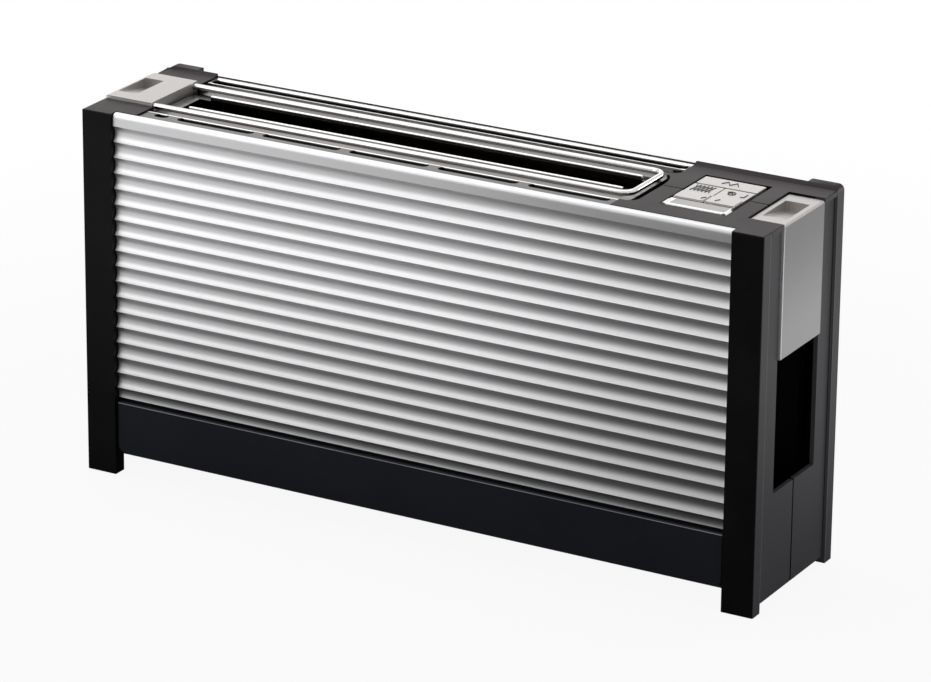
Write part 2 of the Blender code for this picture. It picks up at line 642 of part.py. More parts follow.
def vent_strip(name, half):
    """Vented sheet between panel and slot surround, turned down as a heat shield behind the reflector."""
    rear_end_margin = 1.2 * MM
    edge_radius = 0.4 * MM
    top = DECK_TOP - STRIP_SETDOWN
    bottom = top - STRIP_THICKNESS
    right = DECK_HOLE_RIGHT - REAR_HOLE_INSET - GAP if half > 0 else CHAMBER_RIGHT - GAP
    bm = boxed((DECK_HOLE_LEFT + GAP, SHIELD_DISTANCE, bottom), (right, DECK_EDGE, top))
    shield = boxed((CHAMBER_LEFT + GAP, SHIELD_DISTANCE, SHIELD_BOTTOM),
                   (CHAMBER_RIGHT - GAP, SHIELD_DISTANCE + THIN_SHEET, bottom + STRIP_THICKNESS / 2))
    bm = combine(bm, shield, "UNION")
    low = SHIELD_DISTANCE + STRIP_BORDER
    if half > 0:
        ends = (DECK_HOLE_LEFT + GAP + rear_end_margin, right - rear_end_margin)
        bm = combine(bm, vent_cutter(*ends, low, low + REAR_VENT_WIDTH))
    else:
        for left, length in vent_places():
            bm = combine(bm, vent_cutter(left, left + length, low, low + VENT_WIDTH))
    round_edges(bm, lambda p: near(p.z, top) and p.y < DECK_EDGE - GAP and not near(p.x, right), edge_radius)
    return part(name, mirrored(bm, 1, half), PLATED_SHEET)


def vent_places():
    """Left end and length of each vent: a short one, then as many full ones as the strip holds."""
    pitch = VENT_LENGTH + VENT_BRIDGE
    first = CHAMBER_LEFT + VENT_END_MARGIN
    count = int((CHAMBER_RIGHT + VENT_BRIDGE - first) / pitch)
    places = [(first - VENT_BRIDGE - SHORT_VENT_LENGTH, SHORT_VENT_LENGTH)]
    return places + [(first + k * pitch, VENT_LENGTH) for k in range(count)]


def vent_cutter(left, right, low, high, steps=4):
    """Upright prism with round ends that cuts one vent slot."""
    radius = (high - low) / 2
    outline = []
    for end, start_angle in ((right - radius, -math.pi / 2), (left + radius, math.pi / 2)):
        for k in range(steps + 1):
            angle = start_angle + math.pi * k / steps
            outline.append((end + radius * math.cos(angle), (low + high) / 2 + radius * math.sin(angle)))
    return prism(bmesh.new(), outline, "Z", DECK_UNDER - OVERRUN, DECK_TOP + OVERRUN)


def screw_places():
    """Where the base screws stand, as (x, y) pairs."""
    from_centre = CHASSIS_HALF_DEPTH - SCREW_FROM_EDGE
    return [(x, y) for x in (CHAMBER_LEFT - SCREW_FROM_CHAMBER, CHAMBER_RIGHT + SCREW_FROM_CHAMBER)
            for y in (-from_centre, from_centre)]


def drilled(bm, radius):
    """Drill the screws' holes through the sheet at the bottom."""
    for x, y in screw_places():
        bm = combine(bm, rod(bmesh.new(), (x, y, -OVERRUN), (x, y, CHASSIS_BOTTOM + OVERRUN), radius, 12))
    return bm


def base_plate():
    """Steel bottom between the end walls."""
    reach = WALL_INNER - GAP
    bm = boxed((-reach, -CHASSIS_HALF_DEPTH, BASE_BOTTOM), (reach, CHASSIS_HALF_DEPTH, BASE_TOP))
    return part("base_plate", drilled(bm, SCREW_HOLE_RADIUS), PLATED_SHEET)


def base_screw(name, x, y):
    """Screw that holds a chassis plate on the base."""
    head_radius = 2.8 * MM
    head_height = 1.8 * MM
    stand_out = 3 * MM
    head_top = BASE_BOTTOM - GAP
    head = rod(bmesh.new(), (x, y, head_top - head_height), (x, y, head_top), head_radius, 12)
    shank = rod(bmesh.new(), (x, y, head_top - head_height / 2), (x, y, FLOOR_FLANGE_TOP + stand_out),
                SCREW_RADIUS, 12)
    return part(name, combine(head, shank, "UNION"), STEEL_ROD, (x, y, head_top))


def chassis_plate(name, side):
    """Steel plate at an end of the chamber, with flanges that hold the guide rods and the base screws."""
    flange_width = RIGHT_FLANGE if side > 0 else LEFT_FLANGE
    rack_slot_half_width = RACK_HALF_SPINE + RUNNING_GAP
    face = CHAMBER_RIGHT if side > 0 else -CHAMBER_LEFT
    far = face + flange_width
    outline = [(face, CHASSIS_BOTTOM), (far, CHASSIS_BOTTOM), (far, FLOOR_FLANGE_TOP),
               (face + SHEET, FLOOR_FLANGE_TOP), (face + SHEET, CHASSIS_TOP), (face, CHASSIS_TOP)]
    bm = prism(bmesh.new(), outline, "Y", -CHASSIS_HALF_DEPTH, CHASSIS_HALF_DEPTH)
    flange = boxed((face + SHEET / 2, -TOP_FLANGE_HALF_DEPTH, TOP_FLANGE - SHEET),
                   (far, TOP_FLANGE_HALF_DEPTH, TOP_FLANGE))
    bm = combine(bm, flange, "UNION")
    bm = carve(bm, ((face - OVERRUN, -rack_slot_half_width, RACK_TOP - CARRIAGE_TRAVEL - RACK_SLOT_BELOW),
                    (face + SHEET + GAP, rack_slot_half_width, RACK_TOP + RACK_SLOT_ABOVE)))
    return part(name, drilled(mirrored(bm, side, 1), SCREW_HOLE_RADIUS), PLATED_SHEET)


def reflector(name, half):
    """Sheet behind the heater, turned in at the bottom to carry the heater and the guide wires."""
    outer = REFLECTOR_DISTANCE + THIN_SHEET
    floor_top = CHAMBER_FLOOR + THIN_SHEET
    inner = FLOOR_GAP_HALF_WIDTH
    outline = [(inner, CHAMBER_FLOOR), (outer, CHAMBER_FLOOR), (outer, CHASSIS_TOP),
               (REFLECTOR_DISTANCE, CHASSIS_TOP), (REFLECTOR_DISTANCE, floor_top), (inner, floor_top)]
    bm = prism(bmesh.new(), outline, "X", CHAMBER_LEFT + GAP, CHAMBER_RIGHT - GAP)
    return part(name, mirrored(bm, 1, half), BRIGHT_STEEL)


def heater(name, half):
    """Mica board that carries the heating ribbons."""
    board_thickness = 1 * MM
    bm = boxed((CHAMBER_LEFT + GAP, HEATER_DISTANCE, CHAMBER_FLOOR + THIN_SHEET + GAP),
               (CHAMBER_RIGHT - GAP, HEATER_DISTANCE + board_thickness, CHASSIS_TOP))
    return part(name, mirrored(bm, 1, half), MICA)


def heating_ribbon(name, half):
    """Flat ribbon that runs to and fro along the inner face of a heater board."""
    runs = 14
    bottom = CHAMBER_FLOOR + RIBBON_FLOOR_MARGIN
    pitch = (CHASSIS_TOP - bottom) / runs
    left, right = CHAMBER_LEFT + RIBBON_END_MARGIN, CHAMBER_RIGHT - RIBBON_END_MARGIN
    outline = serpentine(left, right, bottom, pitch, RIBBON_WIDTH, runs)
    outer = HEATER_DISTANCE - GAP
    bm = prism(bmesh.new(), outline, "Y", outer - RIBBON_THICKNESS, outer)
    return part(name, mirrored(bm, 1, half), HEATING_RIBBON)


def serpentine(left, right, bottom, pitch, width, runs):
    """Outline of a band that runs to and fro, each run joined to the next at alternate ends."""
    rising, falling = [(left, bottom)], [(left, bottom + width)]
    for k in range(runs - 1):
        z = bottom + k * pitch
        outside, inside = (rising, falling) if k % 2 == 0 else (falling, rising)
        bend = right if k % 2 == 0 else left
        inner_bend = right - width if k % 2 == 0 else left + width
        outside += [(bend, z), (bend, z + pitch + width)]
        inside += [(inner_bend, z + width), (inner_bend, z + pitch)]
    end = right if runs % 2 == 1 else left
    top = bottom + (runs - 1) * pitch
    last_outside, last_inside = (rising, falling) if runs % 2 == 1 else (falling, rising)
    last_outside.append((end, top))
    last_inside.append((end, top + width))
    return rising + list(reversed(falling))


def guide_grid(name, half):
    """Grid of upright wires, joined by two long ones, that keeps the bread away from a heater."""
    count = 12
    radius = 0.9 * MM
    crossing_share = 1.1
    long_wire_share = 0.8
    end_margin = 13 * MM
    bottom = CHAMBER_FLOOR + THIN_SHEET + GAP
    top = SURROUND_UNDER - GAP
    left, right = CHAMBER_LEFT + end_margin, CHAMBER_RIGHT - end_margin
    pitch = (right - left) / (count - 1)
    bm = bmesh.new()
    for k in range(count):
        x = left + k * pitch
        rod(bm, (x, GUIDE_WIRE_DISTANCE, bottom), (x, GUIDE_WIRE_DISTANCE, top), radius, 8)
    behind = GUIDE_WIRE_DISTANCE + crossing_share * radius
    for z in (bottom + 3 * radius, top - 3 * radius):
        long_wire = rod(bmesh.new(), (left - end_margin / 2, behind, z), (right + end_margin / 2, behind, z),
                        long_wire_share * radius, 6)
        bm = combine(bm, long_wire, "UNION")
    return part(name, mirrored(bm, 1, half), STEEL_ROD, smooth=True)


def bread_rack():
    """Comb of sheet steel that carries the bread and passes through both chassis plates."""
    count = 11
    left = SHOE_RIGHT + GAP
    right = SLIDER_LEFT - GAP
    first = CHAMBER_LEFT + RACK_END_MARGIN
    pitch = (CHAMBER_RIGHT - CHAMBER_LEFT - 2 * RACK_END_MARGIN) / (count - 1)
    upper = []
    for k in range(count):
        x = first + k * pitch
        low, high = x - RACK_TOOTH / 2, x + RACK_TOOTH / 2
        upper += [(low, RACK_HALF_SPINE), (low, RACK_TOOTH_REACH), (high, RACK_TOOTH_REACH),
                  (high, RACK_HALF_SPINE)]
    upper = [(left, RACK_HALF_SPINE)] + upper + [(right, RACK_HALF_SPINE)]
    outline = upper + [(x, -y) for x, y in reversed(upper)]
    bm = prism(bmesh.new(), outline, "Z", RACK_TOP - RACK_THICKNESS, RACK_TOP)
    return part("bread_rack", bm, PLATED_SHEET, (0, 0, RACK_TOP))


def bored_block(low, high, bores, radius):
    """Box with upright round bores, for a slider on its rods."""
    bm = boxed(low, high)
    for x, y in bores:
        bm = combine(bm, rod(bmesh.new(), (x, y, low[2] - OVERRUN), (x, y, high[2] + OVERRUN), radius))
    return bm


def rod_pair(x):
    """Places of the two guide rods at one distance along the body."""
    return [(x, -GUIDE_ROD_SPACING / 2), (x, GUIDE_ROD_SPACING / 2)]


def guide_rod(name, x, y, radius):
    """Upright guide rod between the flanges of a chassis plate."""
    return part(name, rod(bmesh.new(), (x, y, ROD_BOTTOM), (x, y, ROD_TOP), radius), STEEL_ROD, smooth=True)


def carriage_slider():
    """Block on the two carriage rods, with the arm that reaches out to the lever."""
    bm = bored_block((SLIDER_LEFT, -SLIDER_HALF_DEPTH, SLIDER_BOTTOM),
                     (SLIDER_LEFT + SLIDER_THICKNESS, SLIDER_HALF_DEPTH, ARM_TOP),
                     rod_pair(CARRIAGE_ROD_X), GUIDE_ROD_RADIUS + GAP)
    arm = boxed((SLIDER_LEFT + SLIDER_THICKNESS - SHEET, -ARM_HALF_WIDTH, ARM_TOP - ARM_HEIGHT),
                (LEVER_SKIRT_INNER - GAP, ARM_HALF_WIDTH, ARM_TOP))
    bm = combine(bm, arm, "UNION")
    return part("carriage_slider", bm, GREY_NYLON, (CARRIAGE_ROD_X, 0, ARM_TOP))


def rack_shoe():
    """Small block that guides the rack's left end on its rod."""
    bm = bored_block((SHOE_RIGHT - SHOE_THICKNESS, -SHOE_HALF_DEPTH, SLIDER_BOTTOM),
                     (SHOE_RIGHT, SHOE_HALF_DEPTH, SLIDER_BOTTOM + SHOE_HEIGHT),
                     [(SHOE_ROD_X, 0)], SHOE_ROD_RADIUS + GAP)
    return part("rack_shoe", bm, GREY_NYLON, (SHOE_ROD_X, 0, SLIDER_BOTTOM))


def warmer_slider():
    """Block on the two warmer rods that carries the left lever."""
    bottom = LEVER_BOTTOM + WARMER_SLIDER_RISE
    right = WARMER_SLIDER_LEFT + WARMER_SLIDER_THICKNESS
    bm = bored_block((WARMER_SLIDER_LEFT, -SLIDER_HALF_DEPTH, bottom),
                     (right, SLIDER_HALF_DEPTH, bottom + WARMER_SLIDER_HEIGHT),
                     rod_pair(WARMER_ROD_X), GUIDE_ROD_RADIUS + GAP)
    return part("warmer_slider", bm, GREY_NYLON, (WARMER_ROD_X, 0, bottom))


def lever(name, side, top, width, pocket_margin, pocket_length):
    """L-shaped lever: a top plate with a finger pocket, and a skirt down the end of the toaster."""
    inner = HALF_LENGTH - width
    skirt_inner = HALF_LENGTH - LEVER_SKIRT_THICKNESS
    under = top - LEVER_TOP_THICKNESS
    corner = 1.5 * MM
    small_corner = 0.6 * MM
    outline = [(inner, top), (HALF_LENGTH, top), (HALF_LENGTH, LEVER_BOTTOM), (skirt_inner, LEVER_BOTTOM),
               (skirt_inner, under), (inner, under)]
    bm = prism(bmesh.new(), outline, "Y", -LEVER_HALF_WIDTH, LEVER_HALF_WIDTH)
    round_edges(bm, lambda p: near(p.x, HALF_LENGTH) and near(p.z, top), corner, 4)
    round_edges(bm, lambda p: near(p.x, HALF_LENGTH) and near(p.z, LEVER_BOTTOM), small_corner, 2)
    outer = HALF_LENGTH - pocket_margin
    section = [(-POCKET_HALF_WIDTH, top + OVERRUN), (POCKET_HALF_WIDTH, top + OVERRUN),
               (POCKET_HALF_WIDTH, top - POCKET_DEPTH_DEEP), (-POCKET_HALF_WIDTH, top - POCKET_DEPTH_SHALLOW)]
    bm = combine(bm, prism(bmesh.new(), section, "X", outer - pocket_length, outer))
    if side < 0:
        socket_end = inner + FRAME_SOCKET_DEPTH
        for y in (-FRAME_HALF_SPACING, FRAME_HALF_SPACING):
            cutter = rod(bmesh.new(), (inner - OVERRUN, y, FRAME_CENTRE_Z), (socket_end, y, FRAME_CENTRE_Z),
                         FRAME_WIRE_RADIUS + GAP, 12)
            bm = combine(bm, cutter)
    return part(name, mirrored(bm, side, 1), SATIN_SILVER, (side * HALF_LENGTH, 0, LEVER_BOTTOM))


def warmer_frame():
    """Round-wire frame over the slot: two long wires joined by a bend at the right."""
    bend_radius = 7 * MM
    socket_end = WARMER_LEVER_WIDTH - HALF_LENGTH - FRAME_SOCKET_DEPTH + GAP
    right = CHAMBER_RIGHT + FRAME_PAST_CHAMBER
    bend_x = right - bend_radius
    bend_y = FRAME_HALF_SPACING - bend_radius
    steps = 6
    path = [(socket_end, -FRAME_HALF_SPACING, FRAME_CENTRE_Z)]
    for k in range(steps + 1):
        angle = math.pi / 2 * (k / steps - 1)
        path.append((bend_x + bend_radius * math.cos(angle), -bend_y + bend_radius * math.sin(angle),
                     FRAME_CENTRE_Z))
    path += [(x, -y, z) for x, y, z in reversed(path)]
    bm = wire(bmesh.new(), path, FRAME_WIRE_RADIUS, 12)
    return part("warmer_frame", bm, BRIGHT_STEEL, (socket_end, 0, FRAME_CENTRE_Z), smooth=True)


def return_spring():
    """Extension spring between the carriage slider and the upper flange."""
    coil_radius = 3.5 * MM
    wire_radius = 0.4 * MM
    turns = 20
    per_turn = 8
    bottom = ARM_TOP + GAP + wire_radius
    top = TOP_FLANGE - SHEET - GAP - wire_radius
    steps = turns * per_turn
    path = []
    for k in range(steps + 1):
        angle = math.tau * k / per_turn
        path.append((CARRIAGE_ROD_X + coil_radius * math.cos(angle), coil_radius * math.sin(angle),
                     bottom + (top - bottom) * k / steps))
    return part("return_spring", wire(bmesh.new(), path, wire_radius, 5), SPRING_STEEL, smooth=True)


def latch_magnet():
    """E-shaped iron core on the base plate that holds the carriage down."""
    inner = MAGNET_LEG / 2
    outer = MAGNET_WIDTH / 2 - MAGNET_LEG
    bm = boxed((MAGNET_LEFT, -MAGNET_HALF_DEPTH, CHASSIS_BOTTOM),
               (MAGNET_LEFT + MAGNET_WIDTH, MAGNET_HALF_DEPTH, MAGNET_TOP))
    for left, right in ((-outer, -inner), (inner, outer)):
        bm = carve(bm, ((MAGNET_MIDDLE + left, -OVERRUN, YOKE_TOP),
                        (MAGNET_MIDDLE + right, OVERRUN, BODY_LENGTH)))
    return part("latch_magnet", bm, STEEL_ROD)


def magnet_coil():
    """Winding round the middle leg of the magnet."""
    inner = MAGNET_LEG / 2 + GAP
    outer = MAGNET_WIDTH / 2 - MAGNET_LEG - GAP
    winding = outer - inner
    half_hole = MAGNET_HALF_DEPTH + GAP
    bm = boxed((MAGNET_MIDDLE - outer, -half_hole - winding, YOKE_TOP + GAP),
               (MAGNET_MIDDLE + outer, half_hole + winding, MAGNET_TOP - winding))
    bm = carve(bm, ((MAGNET_MIDDLE - inner, -half_hole, -OVERRUN),
                    (MAGNET_MIDDLE + inner, half_hole, BODY_LENGTH)))
    return part("magnet_coil", bm, COPPER)


def armature():
    """Iron plate under the slider's arm that the magnet holds."""
    half_stem = 2 * MM
    bm = boxed((MAGNET_LEFT, -MAGNET_HALF_DEPTH, RACK_TOP),
               (MAGNET_LEFT + MAGNET_WIDTH, MAGNET_HALF_DEPTH, RACK_TOP + ARMATURE_THICKNESS))
    stem = boxed((MAGNET_MIDDLE - half_stem, -MAGNET_HALF_DEPTH, RACK_TOP + ARMATURE_THICKNESS / 2),
                 (MAGNET_MIDDLE + half_stem, MAGNET_HALF_DEPTH, ARM_TOP - ARM_HEIGHT - GAP))
    bm = combine(bm, stem, "UNION")
    return part("armature", bm, STEEL_ROD, (MAGNET_MIDDLE, 0, RACK_TOP))


def control_board():
    """Upright timer board in the right end, held by the chassis plate."""
    bm = boxed((CHAMBER_RIGHT + SHEET + GAP, -BOARD_BACK, BOARD_BOTTOM),
               (BOARD_RIGHT, BOARD_THICKNESS - BOARD_BACK, BOARD_TOP))
    return part("control_board", bm, BOARD_GREEN)


def board_relay():
    """Relay on the control board."""
    width = 20 * MM
    height = 16 * MM
    depth = 10 * MM
    left = BOARD_RIGHT - 2 * width
    bottom = (2 * BOARD_BOTTOM + BOARD_TOP) / 3
    face = BOARD_THICKNESS - BOARD_BACK + GAP
    bm = boxed((left, face, bottom), (left + width, face + depth, bottom + height))
    return part("board_relay", bm, BLACK_PLASTIC)


def board_capacitor():
    """Round capacitor on the control board."""
    radius = 5 * MM
    length = 12 * MM
    x = BOARD_RIGHT - 2 * radius
    z = BOARD_BOTTOM + 3 * radius
    face = BOARD_THICKNESS - BOARD_BACK + GAP
    bm = rod(bmesh.new(), (x, face, z), (x, face + length, z), radius)
    return part("board_capacitor", bm, GREY_NYLON, smooth=True)


def key_spans():
    """Each key's name and its extent in the well: left, right, front, back."""
    left = KEY_WELL_LEFT + KEY_SEAM
    right = KEY_WELL_RIGHT - KEY_RIGHT_GAP
    back = KEY_WELL_HALF_DEPTH - KEY_SEAM
    strip = back - STRIP_KEY_DEPTH
    middle = (left + right) / 2
    half_seam = KEY_SEAM / 2
    return {
        "key_defrost": (left, right, strip + half_seam, back),
        "key_single": (left, middle - half_seam, half_seam - strip, strip - half_seam),
        "key_reheat": (middle + half_seam, right, half_seam - strip, strip - half_seam),
        "key_stop": (left, right, -back, -strip - half_seam),
    }


def key_centres():
    """Centre of each key, where its plunger and its switch stand."""
    return [((left + right) / 2, (front + back) / 2) for left, right, front, back in key_spans().values()]


def key(name, span):
    """Key cap with its plunger; the front key has a raised bar along its front edge and knobs at its ends."""
    left, right, front, back = span
    bar_height = 0.9 * MM
    bar_depth = 2.4 * MM
    knob_width = 3 * MM
    knob_depth = 7 * MM
    knob_radius = 0.7 * MM
    edge_radius = 0.4 * MM
    under = KEY_TOP - KEY_THICKNESS
    outline = [(front, under), (back, under), (back, KEY_TOP), (front, KEY_TOP)]
    if name == "key_stop":
        outline = outline[:3] + [(front + bar_depth, KEY_TOP), (front + bar_depth, KEY_TOP + bar_height),
                                 (front, KEY_TOP + bar_height)]
    bm = prism(bmesh.new(), outline, "X", left, right)
    round_edges(bm, lambda p: p.z > KEY_TOP - GAP, edge_radius)
    if name == "key_stop":
        for low, high in ((left, left + knob_width), (right - KEY_SEAM, KEY_WELL_RIGHT - KEY_SEAM)):
            knob = boxed((low, front, KEY_TOP - bar_height), (high, front + knob_depth, KEY_TOP + bar_height))
            bm = combine(bm, round_edges(knob, lambda p: True, knob_radius), "UNION")
    x, y = (left + right) / 2, (front + back) / 2
    plunger = boxed((x - PLUNGER_HALF, y - PLUNGER_HALF, PLUNGER_BOTTOM),
                    (x + PLUNGER_HALF, y + PLUNGER_HALF, under + KEY_THICKNESS / 2))
    bm = combine(bm, plunger, "UNION")
    return part(name, bm, SATIN_SILVER, (x, y, KEY_TOP))


def key_frame():
    """Frame under the deck that guides the four plungers and carries their board."""
    wall = 1.5 * MM
    leg = 4 * MM
    left, right = KEY_WELL_LEFT - KEY_FRAME_MARGIN, KEY_WELL_RIGHT + KEY_FRAME_MARGIN
    half = KEY_WELL_HALF_DEPTH + KEY_FRAME_MARGIN
    hole = PLUNGER_HALF + RUNNING_GAP
    bm = boxed((left, -half, KEY_BOARD_TOP + GAP), (right, half, DECK_UNDER - GAP))
    bm = carve(bm,
               ((left + wall, wall - half, KEY_FLOOR_TOP), (right - wall, half - wall, DECK_TOP)),
               ((left + leg, -BODY_DEPTH, 0), (right - leg, BODY_DEPTH, KEY_FLOOR_UNDER)),
               ((0, leg - half, 0), (BODY_LENGTH, half - leg, KEY_FLOOR_UNDER)))
    for x, y in key_centres():
        bm = carve(bm, ((x - hole, y - hole, 0), (x + hole, y + hole, DECK_TOP)))
    return part("key_frame", bm, BLACK_PLASTIC)


def key_board():
    """Board with the keys' switches, under the key frame's legs."""
    half = KEY_WELL_HALF_DEPTH + KEY_FRAME_MARGIN
    bm = boxed((KEY_WELL_LEFT - KEY_FRAME_MARGIN, -half, KEY_BOARD_TOP - BOARD_THICKNESS),
               (KEY_WELL_RIGHT + KEY_FRAME_MARGIN, half, KEY_BOARD_TOP))
    return part("key_board", bm, BOARD_GREEN)


def switch_mat():
    """Rubber mat on the key board with a dome under each plunger."""
    inset = 2 * MM
    half = KEY_WELL_HALF_DEPTH - inset
    bm = boxed((KEY_WELL_LEFT + inset, -half, KEY_BOARD_TOP + GAP),
               (KEY_WELL_RIGHT - inset, half, KEY_BOARD_TOP + GAP + SWITCH_HEIGHT / 2))
    for x, y in key_centres():
        dome = rod(bmesh.new(), (x, y, KEY_BOARD_TOP + GAP + SWITCH_HEIGHT / 4), (x, y, SWITCH_TOP),
                   PLUNGER_HALF)
        bm = combine(bm, dome, "UNION")
    return part("switch_mat", bm, RUBBER)


def crumb_tray():
    """Shallow tray on the base plate, with a face and a grip lip at the back."""
    lip_reach = 1.4 * MM
    lip_height = 2.5 * MM
    front_margin = 2 * MM
    front = front_margin - CHASSIS_HALF_DEPTH
    face_inner = PANEL_FACE + GAP - PLINTH_THICKNESS
    face_outer = PANEL_FACE + GAP
    lip_edge = face_outer + lip_reach
    lip_top = PLINTH_BOTTOM + lip_height
    bm = boxed((TRAY_LEFT, front, CHASSIS_BOTTOM),
               (TRAY_RIGHT, face_inner + GAP, CHASSIS_BOTTOM + TRAY_HEIGHT))
    face_outline = [(face_inner, PLINTH_BOTTOM), (lip_edge, PLINTH_BOTTOM), (lip_edge, lip_top),
                    (face_outer, lip_top), (face_outer, TRAY_FACE_TOP), (face_inner, TRAY_FACE_TOP)]
    bm = combine(bm, prism(bmesh.new(), face_outline, "X", TRAY_FACE_LEFT, TRAY_FACE_RIGHT), "UNION")
    bm = carve(bm, ((TRAY_LEFT + TRAY_WALL, front + TRAY_WALL, CHASSIS_BOTTOM + TRAY_WALL),
                    (TRAY_RIGHT - TRAY_WALL, face_inner - TRAY_WALL, DECK_TOP)))
    return part("crumb_tray", bm, PLATED_SHEET, (0, face_outer, CHASSIS_BOTTOM))


def build():
    """Make every part of the toaster."""
    clear_scene()
    for side, side_name in ((1, "right"), (-1, "left")):
        for half, half_name in ((-1, "front"), (1, "rear")):
            end_housing(f"end_{side_name}_{half_name}", side, half)
            foot_pad(f"foot_{side_name}_{half_name}", side, half)
    for half, half_name in ((-1, "front"), (1, "rear")):
        fluted_panel(f"{half_name}_panel", half)
        plinth(f"{half_name}_plinth", half)
        vent_strip(f"{half_name}_vent_strip", half)
        reflector(f"reflector_{half_name}", half)
        heater(f"heater_{half_name}", half)
        heating_ribbon(f"ribbon_{half_name}", half)
        guide_grid(f"guide_grid_{half_name}", half)
        guide_rod(f"carriage_rod_{half_name}", CARRIAGE_ROD_X, half * GUIDE_ROD_SPACING / 2, GUIDE_ROD_RADIUS)
        guide_rod(f"warmer_rod_{half_name}", WARMER_ROD_X, half * GUIDE_ROD_SPACING / 2, GUIDE_ROD_RADIUS)
    guide_rod("shoe_rod", SHOE_ROD_X, 0, SHOE_ROD_RADIUS)
    slot_surround()
    base_plate()
    for number, (x, y) in enumerate(screw_places(), 1):
        base_screw(f"base_screw_{number}", x, y)
    chassis_plate("chassis_right", 1)
    chassis_plate("chassis_left", -1)
    bread_rack()
    carriage_slider()
    rack_shoe()
    lever("carriage_lever", 1, CARRIAGE_TOP, CARRIAGE_LEVER_WIDTH, CARRIAGE_POCKET_MARGIN,
          CARRIAGE_POCKET_LENGTH)
    lever("warmer_lever", -1, WARMER_TOP, WARMER_LEVER_WIDTH, WARMER_POCKET_MARGIN, WARMER_POCKET_LENGTH)
    warmer_slider()
    warmer_frame()
    return_spring()
    latch_magnet()
    magnet_coil()
    armature()
    control_board()
    board_relay()
    board_capacitor()
    key_frame()
    key_board()
    switch_mat()
    for name, span in key_spans().items():
        key(name, span)
    crumb_tray()


build()
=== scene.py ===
"""Looks of the long-slot toaster: finishes for its parts, finer pieces over them, light and camera."""
import json
import math

import bmesh
import bpy
from mathutils import Matrix, Quaternion, Vector

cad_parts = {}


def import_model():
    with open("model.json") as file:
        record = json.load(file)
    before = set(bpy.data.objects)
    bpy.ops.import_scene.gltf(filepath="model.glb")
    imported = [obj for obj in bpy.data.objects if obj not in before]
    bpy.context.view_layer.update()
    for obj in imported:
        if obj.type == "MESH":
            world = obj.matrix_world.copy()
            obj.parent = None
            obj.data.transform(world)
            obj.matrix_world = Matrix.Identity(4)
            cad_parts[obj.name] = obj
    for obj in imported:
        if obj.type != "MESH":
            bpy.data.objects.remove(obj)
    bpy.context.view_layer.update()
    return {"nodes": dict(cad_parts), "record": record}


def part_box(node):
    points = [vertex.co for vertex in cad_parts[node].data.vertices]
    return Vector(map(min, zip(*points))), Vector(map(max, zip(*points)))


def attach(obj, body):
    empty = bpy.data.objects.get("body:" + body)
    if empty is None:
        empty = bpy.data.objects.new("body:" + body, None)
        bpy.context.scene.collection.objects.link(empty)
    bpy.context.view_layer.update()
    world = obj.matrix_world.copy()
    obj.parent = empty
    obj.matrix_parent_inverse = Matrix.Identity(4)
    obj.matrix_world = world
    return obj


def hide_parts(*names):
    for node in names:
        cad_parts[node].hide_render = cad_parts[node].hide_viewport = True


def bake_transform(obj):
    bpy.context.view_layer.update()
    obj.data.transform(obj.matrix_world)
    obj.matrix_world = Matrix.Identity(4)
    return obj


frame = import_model()

MM = 0.001

# Camera, found from the corners of the body in the photograph
CAMERA_AIM = Vector((7.5, 0, 103.9)) * MM
CAMERA_DISTANCE = 2727.1 * MM
CAMERA_AZIMUTH = math.radians(29.271)
CAMERA_ELEVATION = math.radians(20.408)
CAMERA_ROLL = math.radians(0.55)
SENSOR_WIDTH = 36
LENS = 192.4

# World and lamps: a strength of 1 is white, and a fade runs between two values of a ray's direction
WORLD_LIGHT = 0.25
FRONT_DIMMING_SHARE = 0.7
FRONT_FADE = (-0.1, 0.3)
LOW_FADE = (0.15, 0.7)
LAMP_AIM = (0, 0, 0.1)

# Floor in metres; each fade holds the places where it starts and ends
FLOOR_REACH = 6
FLOOR_COLOUR = (0.86, 0.86, 0.86)
FLOOR_COLOUR_IN_GLOSS = (0.15, 0.15, 0.15)
NEAR_GLOW_SHARE = 0.92
NEAR_GLOW_FADE = (0.3, 0.8)
BEHIND_FADE = (0.05, 0.35)
RIGHT_FADE = (0.3, 0.5)

# A painted reflection: in the front panel's reflection the floor fades from white at the left end to dark at
# the right
POOL_FRONT_FADE = (0.06, 0.42)
POOL_RIGHT_FADE = (-0.15, 0.22)
POOL_DIMMING_SHARE = 0.95
POOL_SLANT = 0.56

# Edges and joints of the finer pieces
WELD = 0.01 * MM
FINE_EDGE = 0.25 * MM
LEVER_ROUNDING = 0.9 * MM
MOULDED_ROUNDING = 0.3 * MM
SHEET_ROUNDING = 0.2 * MM
STRIP_ROUNDING = 0.12 * MM
PLINTH_ROUNDING = 0.4 * MM
SEAM_REACH = 1 * MM
SHARP_ANGLE = math.radians(32)
FLUTE_SHARP_ANGLE = math.radians(40)
FLAT_ANGLE = math.radians(0.5)
ROD_SIDES = 24

# Lines and edges in the finishes, along which light and shade are painted
END_FACE_START = 204 * MM
COLUMN_DEPTH = 8.6 * MM
SEAM_WIDTH = 1.2 * MM
LEVER_EDGE = 1 * MM
PLINTH_CHAMFER = 0.8 * MM
HIGHLIGHT_LINE_WIDTH = 0.4 * MM
RIM_HEIGHT = 2.9 * MM
RIM_FADE = 0.3 * MM
STRIP_BORDER = 0.9 * MM
REAR_VENT_WIDTH = 6.4 * MM
PANEL_FOOT_SHARE = 0.7
FOOT_SHADE_SHARE = 0.33
RIGHT_SHADE_SHARE = 0.22

# Textures in the finishes
LENGTHWISE = (0.02, 1, 1)
FILM_SIZE = 40 * MM
SPECK_SIZE = 1.2 * MM
DUST_SHARE = 0.35
GLOSS_CLOUD = 25 * MM
FLAKE_SIZE = 0.25 * MM
PANEL_STREAK = 0.35 * MM
SHEET_STREAK = 0.8 * MM
MOULDED_GRAIN = 0.45 * MM
MOULDED_GRAIN_DEPTH = 0.012 * MM

